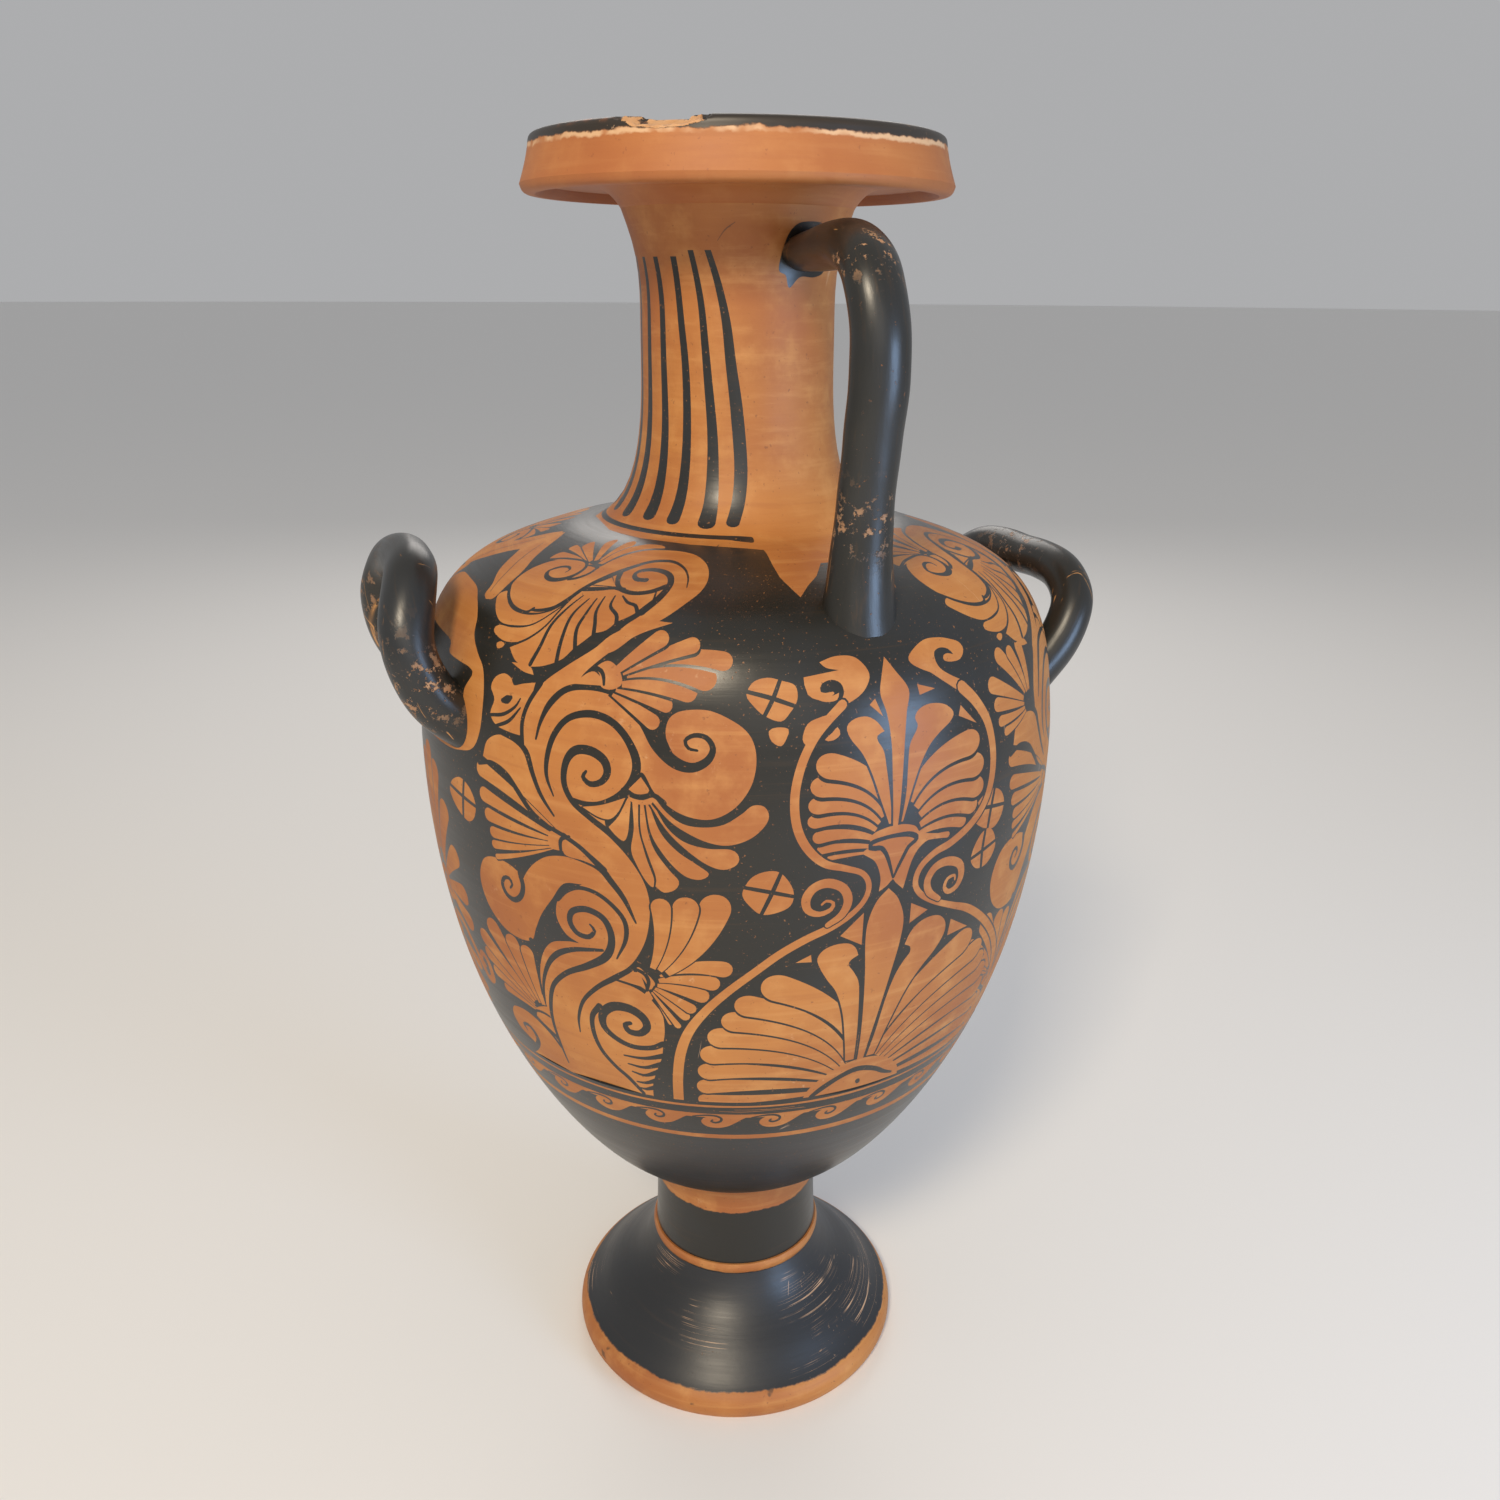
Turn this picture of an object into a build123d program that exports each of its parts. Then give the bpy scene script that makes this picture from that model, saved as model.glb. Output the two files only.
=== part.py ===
"""A three-handled water jar (hydria) in fired clay, thrown in sections and luted together.

Millimetres, +Z up. The origin is on the jar's axis, on the plane that the foot stands on.
The two side handles lie about along X, and the back handle stands on the -Y side.
"""
from build123d import *
from math import cos, pi, radians, sin
import os

# ---- driving dimensions ----
foot_radius = 74.5            # widest part of the foot's edge
foot_edge_height = 11.1       # height of the upright edge band
foot_edge_lean = 2.5          # how far the edge band leans in at its top
resting_ring_width = 15.0     # width of the ring that the jar stands on
foot_height = 52.0            # floor to the top of the collar under the stem
collar_radius = 38.1          # bead round the top of the foot
collar_height = 5.0
stem_radius = 36.6
stem_flare = 0.7              # the stem is this much wider at its base
stem_height = 42.0
stem_bore = 22.0              # radius of the hollow in the stem
belly_radius = 125.7          # widest radius of the body
belly_height = 205.5          # top of the stem to the widest point
body_wall = 7.0
floor_thickness = 10.0
boss_depth = 3.5              # how far the belly's bottom boss drops into the stem
shoulder_height = 83.0        # widest point to the base of the neck
neck_base_radius = 54.0
neck_height = 109.5           # base of the neck to the mouth joint
neck_waist_radius = 35.9
neck_waist_height = 68.0      # base of the neck to its narrowest point
neck_top_radius = 42.0
neck_wall = 6.0
lip_radius = 77.3             # widest part of the overhanging lip
lip_top_radius = 72.8
lip_height = 19.4             # lower edge of the lip to its top
lip_recess = 2.8              # the underside is raised this much inside the lower edge
lip_rim_width = 4.5           # flat ridge round the top
dish_depth = 2.0              # the top surface drops this much inside the ridge
throat_drop = 6.0             # further drop from the dish into the throat
mouth_height = 23.5           # mouth joint to the top of the lip
scarf_drop = 4.0              # slope of a luting face, outer edge to inner edge

back_handle_width = 19.6
back_handle_thickness = 15.5
back_handle_lean = 11.0       # how far the upper root stands to the right of the lower one
back_handle_reach = 107.5     # axis of the jar to the handle's centre line, at its furthest
back_root_flare = 1.45        # size of the lower root over the handle's own
back_root_pinch = 0.78        # thickness of the upper root over the handle's own

side_root_height = 23.0       # widest point of the body to the centre of the side roots
side_handle_skew = 3.0        # degrees that the two side handles are turned from square
left_handle = dict(radius=9.3, spread=16.5, arc=57.0, rise=32.0, curl=91.0, squareness=0.65)
right_handle = dict(radius=8.2, spread=24.0, arc=42.5, rise=43.0, curl=32.0, squareness=0.55)
side_root_flare = 1.15

chip_bearing = 42.0           # degrees from the back handle towards the left handle
chip_width = 30.0
chip_depth = 3.2

# ---- heights that follow from the sizes above ----
stem_base = foot_height
belly_base = stem_base + stem_height
widest = belly_base + belly_height
neck_base = widest + shoulder_height
mouth_joint = neck_base + neck_height
lip_top = mouth_joint + mouth_height
lip_bottom = lip_top - lip_height


def at(radius, height):
    """A point of a half section: radius from the axis, height above the floor."""
    return Vector(radius, 0, height)


def curve(points, start=None, end=None):
    """A smooth curve through section points, with optional end directions (radial, vertical)."""
    ends = None
    if start and end:
        ends = [at(*start), at(*end)]
    return Spline(*[at(*p) for p in points], tangents=ends) if ends else Spline(*[at(*p) for p in points])


def inset(edge, wall, first, last, count):
    """A curve one wall inside an upward-running outer curve, between two given end points."""
    points = [at(*first)]
    for i in range(1, count):
        t = i / count
        p, d = edge.position_at(t), edge.tangent_at(t)
        points.append(at(p.X - wall * d.Z, p.Z + wall * d.X))
    points.append(at(*last))
    return Spline(*points)


def turned(edges):
    """The solid that a closed half section sweeps out about the axis."""
    return revolve(make_face(Wire(edges)), Axis.Z, 360)


def line(*points):
    """Straight edges through section points."""
    ends = [at(*p) for p in points]
    return [Line(a, b) for a, b in zip(ends, ends[1:])]


# ---- outer curves of the wall ----
def belly_point(radial, vertical):
    """A point on the belly, as shares of its spread and height."""
    return stem_radius + radial * (belly_radius - stem_radius), belly_base + vertical * belly_height


def shoulder_point(radial, vertical):
    """A point on the shoulder, as shares of its spread and height."""
    return neck_base_radius + radial * (belly_radius - neck_base_radius), widest + vertical * shoulder_height


belly_curve = curve(
    [belly_point(0, 0), belly_point(0.235, 0.064), belly_point(0.472, 0.182), belly_point(0.672, 0.331),
     belly_point(0.853, 0.530), belly_point(0.955, 0.729), belly_point(1, 1)],
    start=(1.0, 0.45), end=(0, 1))
shoulder_curve = curve(
    [shoulder_point(1, 0), shoulder_point(0.9995, 0.04), shoulder_point(0.98, 0.253),
     shoulder_point(0.93, 0.502), shoulder_point(0.828, 0.687), shoulder_point(0.676, 0.81),
     shoulder_point(0.335, 0.934), shoulder_point(0.09, 0.988),
     shoulder_point(0, 1)])
neck_spread = neck_base_radius - neck_waist_radius
neck_curve = curve(
    [(neck_base_radius, neck_base), (neck_waist_radius + 0.50 * neck_spread, neck_base + 7.5),
     (neck_waist_radius + 0.24 * neck_spread, neck_base + 17.5), (neck_waist_radius + 1.6, neck_base + 30),
     (neck_waist_radius, neck_base + neck_waist_height), (neck_waist_radius + 1.6, mouth_joint - 14),
     (neck_top_radius, mouth_joint)])

# ---- luting faces: each is one straight section line, shared by the two pieces that meet there ----
stem_seat = [(stem_bore, belly_base - boss_depth), (stem_radius, belly_base)]
belly_scarf = [(belly_radius, widest), (belly_radius - body_wall, widest - scarf_drop)]
neck_seat = [(neck_base_radius, neck_base), (neck_base_radius - scarf_drop, neck_base - 0.9 * body_wall)]
mouth_scarf = [(neck_top_radius, mouth_joint), (neck_top_radius - neck_wall - 1.2, mouth_joint - scarf_drop)]


def make_foot():
    """Spreading foot: resting ring, upright edge, concave top up to a collar, hollow beneath."""
    edge_top = (foot_radius - foot_edge_lean, foot_edge_height)
    shelf = foot_height - collar_height
    inner_ring = foot_radius - 1.5 - resting_ring_width
    spread = edge_top[0] - collar_radius
    rise = shelf - foot_edge_height
    edge = ThreePointArc(at(foot_radius - 1.5, 0), at(foot_radius, 0.55 * foot_edge_height), at(*edge_top))
    top = curve([edge_top, (edge_top[0] - 0.36 * spread, foot_edge_height + 0.30 * rise),
                 (edge_top[0] - 0.70 * spread, foot_edge_height + 0.58 * rise), (collar_radius, shelf)],
                start=(-1.0, 0.62), end=(-0.42, 1.0))
    collar = ThreePointArc(at(collar_radius, shelf), at(collar_radius + 0.7, shelf + 0.5 * collar_height),
                           at(collar_radius, foot_height))
    hollow = curve([(stem_bore, foot_height), (stem_bore + 3.5, 0.72 * foot_height),
                    (0.5 * (stem_bore + inner_ring), 0.38 * foot_height), (inner_ring, 0)],
                   start=(0, -1), end=(0.8, -1))
    return turned([edge, top, collar, *line((collar_radius, foot_height), (stem_bore, foot_height)), hollow,
                   *line((inner_ring, 0), (foot_radius - 1.5, 0))])


def make_stem():
    """Short hollow stem, a little wider at its base."""
    base = stem_radius + stem_flare
    side = curve([(base, stem_base), (stem_radius, stem_base + 0.45 * stem_height), (stem_radius, belly_base)])
    return turned([side, *line(stem_seat[1], stem_seat[0], (stem_bore, stem_base), (base, stem_base))])


def make_belly():
    """Lower half of the body, from the boss in the stem to the widest point."""
    floor = belly_base - boss_depth + floor_thickness
    hollow_start = (stem_radius - 4, floor + 0.8)
    hollow = inset(belly_curve, body_wall, hollow_start, belly_scarf[1], 8)
    return turned([belly_curve, *line(*belly_scarf), hollow,
                   *line(hollow_start, (0, floor), (0, stem_seat[0][1]), *stem_seat)])


def make_shoulder():
    """Upper half of the body, from the widest point to the neck hole."""
    hollow = inset(shoulder_curve, body_wall, belly_scarf[1], neck_seat[1], 8)
    return turned([shoulder_curve, *line(*neck_seat), hollow, *line(*belly_scarf)])


def make_neck():
    """Concave neck, from the shoulder's rim to the mouth."""
    hollow = inset(neck_curve, neck_wall, neck_seat[1], mouth_scarf[1], 10)
    return turned([neck_curve, *line(*mouth_scarf), hollow, *line(*neck_seat)])


def mouth_outer():
    """Outer edges of the mouth, from its joint with the neck to the lip's top ridge."""
    under = lip_bottom + lip_recess
    rim_inner = lip_radius - 8
    return [curve([(neck_top_radius, mouth_joint), (neck_top_radius + 9, under)], start=(0.62, 1), end=(1, 0.1)),
            *line((neck_top_radius + 9, under), (rim_inner, under + 0.6), (rim_inner + 2.6, lip_bottom)),
            ThreePointArc(at(rim_inner + 2.6, lip_bottom), at(lip_radius - 1.0, lip_bottom + 0.9),
                          at(lip_radius, lip_bottom + 3.2)),
            curve([(lip_radius, lip_bottom + 3.2), (lip_top_radius + 1.6, lip_top - 6.5),
                   (lip_top_radius + 1.0, lip_top - 3.4)], start=(-0.1, 1), end=(-0.02, 1)),
            ThreePointArc(at(lip_top_radius + 1.0, lip_top - 3.4), at(lip_top_radius + 0.3, lip_top - 0.9),
                          at(lip_top_radius - 1.6, lip_top))]


def ellipsoid(x, y, z):
    """A solid ellipsoid with the given half axes."""
    return scale(Sphere(1), by=(x, y, z))


def make_mouth():
    """Overhanging disc lip, dished on top, with the throat through it and one old chip in its ridge."""
    ridge = (lip_top_radius - 1.6 - lip_rim_width, lip_top)
    dish = (ridge[0] - dish_depth, lip_top - dish_depth)
    throat = (mouth_scarf[1][0] + 8.5, lip_top - dish_depth - throat_drop + 1.5)
    mouth = turned([*mouth_outer(), *line((lip_top_radius - 1.6, lip_top), ridge, dish, throat),
                    curve([throat, mouth_scarf[1]], start=(-1, -0.35), end=(-0.1, -1)), *line(*mouth_scarf)])
    bearing = radians(-90 - chip_bearing)
    chip = ellipsoid(chip_depth * 2.6, chip_width / 2, chip_depth)
    chip = Rot(0, 0, -90 - chip_bearing) * chip
    place = Pos((lip_top_radius + 1.0) * cos(bearing), (lip_top_radius + 1.0) * sin(bearing), lip_top)
    return mouth - place * chip


def make_body_core():
    """The body, neck and mouth filled solid, used only to trim the handles to the wall's outer surface."""
    outline = [belly_curve, shoulder_curve, neck_curve]
    return turned([*outline, *line((neck_top_radius, mouth_joint), (0, mouth_joint), (0, belly_base),
                                   (stem_radius, belly_base))])


def rod(path, half_width, half_thickness, across, stations):
    """A handle: ellipses carried along a path, joined smoothly. Sizes are functions of the share of the path."""
    sections = []
    for i in range(stations + 1):
        t = i / stations
        along = path.tangent_at(t)
        across = across - along * across.dot(along)
        sections.append(Plane(path.position_at(t), across, along) * Ellipse(half_width(t), half_thickness(t)))
    return loft(sections)


def largest(shape):
    """The biggest solid of a shape, without the stubs that trimming leaves inside the wall."""
    return max(shape.solids(), key=lambda s: s.volume)


def make_back_handle(core):
    """Vertical handle: straight out of the neck, over a tight bend, and down to the shoulder."""
    reach = back_handle_reach
    top = mouth_joint - 13.5
    root = neck_waist_radius - 4
    foot_of_handle = neck_base - 22
    line_points = [(root, top - 1.5), (root + 0.40 * (reach - root), top), (reach - 23.5, top - 0.4),
                   (reach - 7.5, top - 8.5), (reach - 0.5, top - 29), (reach - 2.4, top - 52),
                   (reach - 7.2, top - 84), (reach - 8.6, foot_of_handle)]
    path = Spline(*[Vector(back_handle_lean * max(0, (reach - 8 - y) / (reach - 8 - root)), -y, z)
                    for y, z in line_points])

    def half_width(t):
        """Wider towards the lower root."""
        return back_handle_width / 2 * (1 + (back_root_flare - 1) * max(0, (t - 0.76) / 0.24) ** 2)

    def half_thickness(t):
        """Thicker towards the lower root, pinched flatter at the upper one."""
        flare = (back_root_flare - 1) * max(0, (t - 0.76) / 0.24) ** 2
        pinch = (1 - back_root_pinch) * max(0, 1 - t / 0.3) ** 1.5
        return back_handle_thickness / 2 * (1 + flare - pinch)

    handle = rod(path, half_width, half_thickness, Vector(1, 0, 0), 18)
    return largest(handle - core)


def side_path(radius, spread, arc, rise, curl, squareness, inside):
    """Centre line of a side handle on the +X side: an arch that leaves the wall rising and curls upward."""
    root_radius = belly_radius - 5.5
    half_span = root_radius * sin(radians(spread))
    start = root_radius * cos(radians(spread))
    points = []
    count = 12
    for i in range(count + 1):
        s = pi * i ** 2 / (i ** 2 + (count - i) ** 2)
        c = cos(s)
        across = half_span * (abs(c) ** squareness) * (1 if c >= 0 else -1)
        share = sin(s) ** squareness if 0 < i < count else 0.0
        steps = 24
        out = up = 0.0
        for k in range(steps):
            angle = radians(rise + curl * share * (k + 0.5) / steps)
            out += cos(angle) * arc * share / steps
            up += sin(angle) * arc * share / steps
        points.append(Vector(start + out, across, widest + side_root_height + up))
    lead = Vector(-inside * cos(radians(rise)), 0, -inside * sin(radians(rise)))
    return Spline(points[0] + lead, *points, points[-1] + lead)


def make_side_handle(core, side, radius, spread, arc, rise, curl, squareness):
    """Horizontal loop handle with both roots on the shoulder; side is +1 for +X and -1 for -X."""
    path = side_path(radius, spread, arc, rise, curl, squareness, inside=1.4 * radius)

    def half(t):
        """Round section that swells towards both roots."""
        near = min(t, 1 - t)
        return radius * (1 + (side_root_flare - 1) * max(0, 1 - near / 0.24) ** 2)

    handle = rod(path, half, half, Vector(-sin(radians(rise)), 0, cos(radians(rise))), 24)
    if side < 0:
        handle = mirror(handle, Plane.YZ)
    handle = Rot(0, 0, -side_handle_skew) * handle
    return largest(handle - core)


core = make_body_core()
pieces = {
    "foot": make_foot(),
    "stem": make_stem(),
    "belly": make_belly(),
    "shoulder": make_shoulder(),
    "neck": make_neck(),
    "mouth": make_mouth(),
    "back_handle": make_back_handle(core),
    "side_handle_left": make_side_handle(core, -1, **left_handle),
    "side_handle_right": make_side_handle(core, +1, **right_handle),
}

os.makedirs("parts", exist_ok=True)
for name, piece in pieces.items():
    export_step(piece, f"parts/{name}.step")
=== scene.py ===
# A red-figure water jar: painted wall, turned foot and lip, pulled handles.
from math import cos, pi, radians, sin

import bmesh
import bpy
import numpy as np
from mathutils import Matrix, Vector
from mathutils.geometry import delaunay_2d_cdt


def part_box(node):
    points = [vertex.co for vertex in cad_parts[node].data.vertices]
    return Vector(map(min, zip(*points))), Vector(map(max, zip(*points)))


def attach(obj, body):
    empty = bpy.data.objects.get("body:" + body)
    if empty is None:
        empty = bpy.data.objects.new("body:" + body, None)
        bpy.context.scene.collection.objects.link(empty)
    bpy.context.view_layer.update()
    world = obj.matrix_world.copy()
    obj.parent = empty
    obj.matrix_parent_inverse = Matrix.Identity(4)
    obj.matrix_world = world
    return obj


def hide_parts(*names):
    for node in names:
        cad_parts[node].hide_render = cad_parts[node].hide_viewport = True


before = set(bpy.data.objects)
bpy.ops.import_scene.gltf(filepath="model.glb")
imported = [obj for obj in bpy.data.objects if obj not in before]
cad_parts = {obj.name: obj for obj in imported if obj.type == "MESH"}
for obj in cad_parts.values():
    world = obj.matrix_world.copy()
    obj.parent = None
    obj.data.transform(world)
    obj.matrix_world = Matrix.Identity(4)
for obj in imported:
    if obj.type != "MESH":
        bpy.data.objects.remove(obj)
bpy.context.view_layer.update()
mm = 0.001


def top(node):
    # Height of a piece's upper end, in mm.
    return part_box(node)[1].z / mm


def reach(node):
    # Largest distance of a piece from the axis along X, in mm.
    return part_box(node)[1].x / mm


# Curves
def spline(points, count, start=None, end=None):
    # A curve with continuous bend through points: cubic spans whose slopes solve one banded set of equations.
    p = np.asarray(points, float)
    h = np.linalg.norm(np.diff(p, axis=0), axis=1)
    n = len(p)
    a = np.zeros((n, n))
    rhs = np.zeros_like(p)
    i = np.arange(1, n - 1)
    a[i, i - 1], a[i, i], a[i, i + 1] = h[1:], 2 * (h[:-1] + h[1:]), h[:-1]
    rise = np.diff(p, axis=0) / h[:, None]
    rhs[1:-1] = 3 * (rise[:-1] * h[1:, None] + rise[1:] * h[:-1, None])
    a[0, 0], a[0, 1], rhs[0] = 2, 1, 3 * rise[0]
    a[-1, -1], a[-1, -2], rhs[-1] = 2, 1, 3 * rise[-1]
    if start is not None:
        a[0], rhs[0] = np.eye(n)[0], np.asarray(start, float) / np.linalg.norm(start)
    if end is not None:
        a[-1], rhs[-1] = np.eye(n)[-1], np.asarray(end, float) / np.linalg.norm(end)
    slope = np.linalg.solve(a, rhs)
    at = np.concatenate([[0], np.cumsum(h)])
    u = np.linspace(0, at[-1], count)
    k = np.clip(np.searchsorted(at, u, side="right") - 1, 0, n - 2)
    t = ((u - at[k]) / h[k])[:, None]
    w = h[k][:, None]
    return ((2 * t ** 3 - 3 * t ** 2 + 1) * p[k] + (t ** 3 - 2 * t ** 2 + t) * w * slope[k]
            + (3 * t ** 2 - 2 * t ** 3) * p[k + 1] + (t ** 3 - t ** 2) * w * slope[k + 1])


def lengths(curve):
    # Distance along a curve at each of its points.
    return np.concatenate([[0], np.cumsum(np.linalg.norm(np.diff(curve, axis=0), axis=1))])


# Meshes
def hang(name, mesh, replaced, material):
    mesh.materials.append(material)
    mesh.update()
    piece = bpy.data.objects.new(name, mesh)
    bpy.context.collection.objects.link(piece)
    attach(piece, "root")
    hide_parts(*replaced)
    print(f"{name}: {len(mesh.vertices)} points, {len(mesh.polygons)} faces")
    return piece


def weld(mesh, distance=0.004):
    # Joins points that lie on each other: seams, poles and the ends of a closed row.
    work = bmesh.new()
    work.from_mesh(mesh)
    bmesh.ops.remove_doubles(work, verts=work.verts, dist=distance * mm)
    work.to_mesh(mesh)
    work.free()


def addVectors(mesh, name, vectors):
    mesh.attributes.new(name, "FLOAT_VECTOR", "POINT").data.foreach_set("vector", vectors.astype(np.float32).ravel())


def skin(name, grid, slot, replaced, material, spin, ring=False, **marks):
    # A grid of points (rows, columns) as a closed skin: columns always close, rows close if ring is set.
    # An end row on a single point becomes a pole. Its bake layout is four strips of columns side by side.
    rows, columns = grid.shape[:2]
    r = np.arange(rows if ring else rows - 1)[:, None]
    c = np.arange(columns)[None, :]
    right, above = c + 1, r + 1
    place = np.stack([r + 0 * c, r + 0 * c, above + 0 * c, above + 0 * c], -1).reshape(-1)
    across = np.stack([c + 0 * r, right + 0 * r, right + 0 * r, c + 0 * r], -1).reshape(-1)
    faces = ((place % rows) * columns + across % columns).reshape(-1, 4)
    mesh = bpy.data.meshes.new(name)
    mesh.from_pydata((grid.reshape(-1, 3) * mm).tolist(), [], faces.tolist())
    strips = 4
    perStrip = columns / strips
    strip = np.repeat(np.floor(across.reshape(-1, 4).min(axis=1) / perStrip), 4)
    u = (strip + 0.02 + 0.96 * (across - strip * perStrip) / perStrip) / strips
    v = 0.01 + 0.98 * place / (rows if ring else rows - 1)
    mesh.uv_layers.new(name="OFBake").data.foreach_set("uv", np.column_stack([u, v]).astype(np.float32).ravel())
    addVectors(mesh, "spin", spin)
    for mark, values in marks.items():
        mesh.attributes.new(mark, "FLOAT", "POINT").data.foreach_set("value", values.astype(np.float32).ravel())
    weld(mesh)
    mesh.polygons.foreach_set("use_smooth", np.ones(len(mesh.polygons), bool))
    mesh.set_sharp_from_angle(angle=radians(35))
    return hang(name, mesh, replaced, material)


def turned(name, profile, slot, replaced, material, columns=224, change=None):
    # A closed half section swept round the axis: x = r sin(turn), y = -r cos(turn).
    profile = np.asarray(profile, float)
    turn = np.arange(columns) * 2 * pi / columns
    r, z = profile[:, :1], profile[:, 1:]
    grid = np.stack([r * np.sin(turn), -r * np.cos(turn), z + 0 * turn], -1)
    way = lengths(profile)[:, None] + 0 * turn
    spin = np.stack([np.sin(turn) + 0 * way, -np.cos(turn) + 0 * way, way * 0.1], -1)
    if change:
        grid = change(grid, turn)
    return skin(name, grid, slot, replaced, material, spin, ring=True)


# Drawing on the flat sheet: x is turn, y is the way up the wall
mmPerDegree = 2.19          # one degree of turn on the widest part; every drawing is made in this flat sheet
stepLength = 1.45            # spacing of the points along a drawn edge, in mm


def sheet(points):
    # Points given as (degrees, mm up the wall) on the flat drawing sheet, in mm.
    return np.array([(p[0] * mmPerDegree, p[1]) for p in points], float)


def smoothLine(p, values=None):
    # A Catmull-Rom curve through p: each span is a cubic whose end slopes are half the step between neighbours.
    p = np.asarray(p, float)
    extra = p if values is None else np.column_stack([p, values])
    before = np.vstack([2 * extra[0] - extra[1], extra[:-1]])[:-1]
    after = np.vstack([extra[1:], 2 * extra[-1] - extra[-2]])[1:]
    a, b = extra[:-1], extra[1:]
    out = []
    for i in range(len(a)):
        count = max(2, int(np.hypot(*(b[i, :2] - a[i, :2])) / stepLength) + 1)
        t = np.arange(count)[:, None] / count
        out.append(0.5 * (2 * a[i] + (b[i] - before[i]) * t + (2 * before[i] - 5 * a[i] + 4 * b[i] - after[i]) * t ** 2
                          + (3 * a[i] - before[i] - 3 * b[i] + after[i]) * t ** 3))
    out.append(extra[-1:])
    return np.vstack(out)


def area(points):
    # A closed outline, smooth through every point except those marked with a third value, which are corners.
    corners = [i for i, p in enumerate(points) if len(p) > 2]
    p = sheet(points)
    if not corners:
        loop = smoothLine(np.vstack([p[-2:], p, p[:3]]))
        first = np.argmin(np.hypot(*(loop - p[0]).T))
        inside = loop[first:]
        last = len(inside) - 1 - np.argmin(np.hypot(*(inside[::-1] - p[0]).T))
        return inside[:last]
    p = np.roll(p, -corners[0], axis=0)
    marks = [c - corners[0] for c in corners] + [len(p)]
    p = np.vstack([p, p[:1]])
    return np.vstack([smoothLine(p[a:b + 1])[:-1] if b > a + 1 else p[a:a + 1] for a, b in zip(marks, marks[1:])])


def ribbon(line, half):
    # The closed outline of a line drawn with a brush: offset by half its width on both sides, with round ends.
    along = np.gradient(line, axis=0)
    along /= np.maximum(np.hypot(*along.T), 1e-9)[:, None]
    side = np.column_stack([-along[:, 1], along[:, 0]])
    left, right = line + side * half[:, None], line - side * half[:, None]
    turn = np.linspace(0, np.pi, 6)[1:-1, None]
    tip = line[-1] + half[-1] * (np.cos(turn) * side[-1] + np.sin(turn) * along[-1])
    tail = line[0] + half[0] * (-np.cos(turn) * side[0] - np.sin(turn) * along[0])
    return np.vstack([left, tip, right[::-1], tail])


def brush(points, widths, grow=0.0):
    # A stroke along a smooth line. Widths are spread evenly over its points.
    p = sheet(points)
    w = np.interp(np.linspace(0, 1, len(p)), np.linspace(0, 1, len(widths)), widths)
    line = smoothLine(p, w)
    return ribbon(line[:, :2], np.maximum(line[:, 2] / 2 + grow, 0.12))


def petal(heart, tip, width, bend, start=0.25, grow=0.0):
    # A leaf on a bowed centre line: its width grows with the distance from the heart and ends in a half circle.
    a, b = sheet([heart])[0], sheet([tip])[0]
    d = b - a
    length = np.hypot(*d)
    middle = (a + b) / 2 + bend * np.array([-d[1], d[0]])
    t = (1 - (1 - start) * np.linspace(1, 0, max(9, int(length / 1.7))) ** 1.6)[:, None]
    line = (1 - t) ** 2 * a + 2 * t * (1 - t) * middle + t ** 2 * b
    share = t[:, 0]
    bulk = 0.06 + 0.94 * share ** 0.92
    end = 1 - width * 0.5 / length
    cap = np.sqrt(np.clip(1 - np.clip((share - end) / (1 - end), 0, 1) ** 2, 0, 1))
    half = width / 2 * bulk * cap + grow * (0.4 + 0.6 * share)
    along = np.gradient(line, axis=0)
    along /= np.maximum(np.hypot(*along.T), 1e-9)[:, None]
    side = np.column_stack([-along[:, 1], along[:, 0]])
    tipOut = line[-1:] + along[-1:] * grow
    return np.vstack([line + side * half[:, None], tipOut, (line - side * half[:, None])[::-1]])


def fan(heart, petals, gap=0.95, start=0.22):
    # Petals on one heart, each laid over the one before with a dark line round it.
    layers = []
    for tip, width, bend in petals:
        layers.append((petal(heart, tip, width, bend, start * 0.8, gap), 1))
        layers.append((petal(heart, tip, width, bend, start), 0))
    return layers


def outlined(points, gap=0.75):
    # A closed clay shape with a dark line round it.
    shape = area(points)
    ring = np.vstack([shape, shape[:1]])
    return [(ribbon(ring, np.full(len(ring), gap)), 1), (shape, 0)]


def clay(points):
    return [(area(points), 0)]


def dark(points, widths, tone=1):
    return [(brush(points, widths), tone)]


def band(points, widths, gap=0.8):
    # A clay ribbon with a dark line along both sides.
    return [(brush(points, widths, gap), 1), (brush(points, widths), 0)]


def mirrored(layers, axis):
    # The same layers reflected about an upright line.
    return [(np.column_stack([2 * axis * mmPerDegree - s[:, 0], s[:, 1]]), tone) for s, tone in layers]


def moved(layers, turn):
    return [(s + [turn * mmPerDegree, 0], tone) for s, tone in layers]


# Quartered fruit between the scrolls
def fruit(points, crossing, upright):
    return clay(points) + dark(crossing, [1.3, 1.5, 1.3]) + dark(upright, [1.3, 1.5, 1.3])


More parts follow.
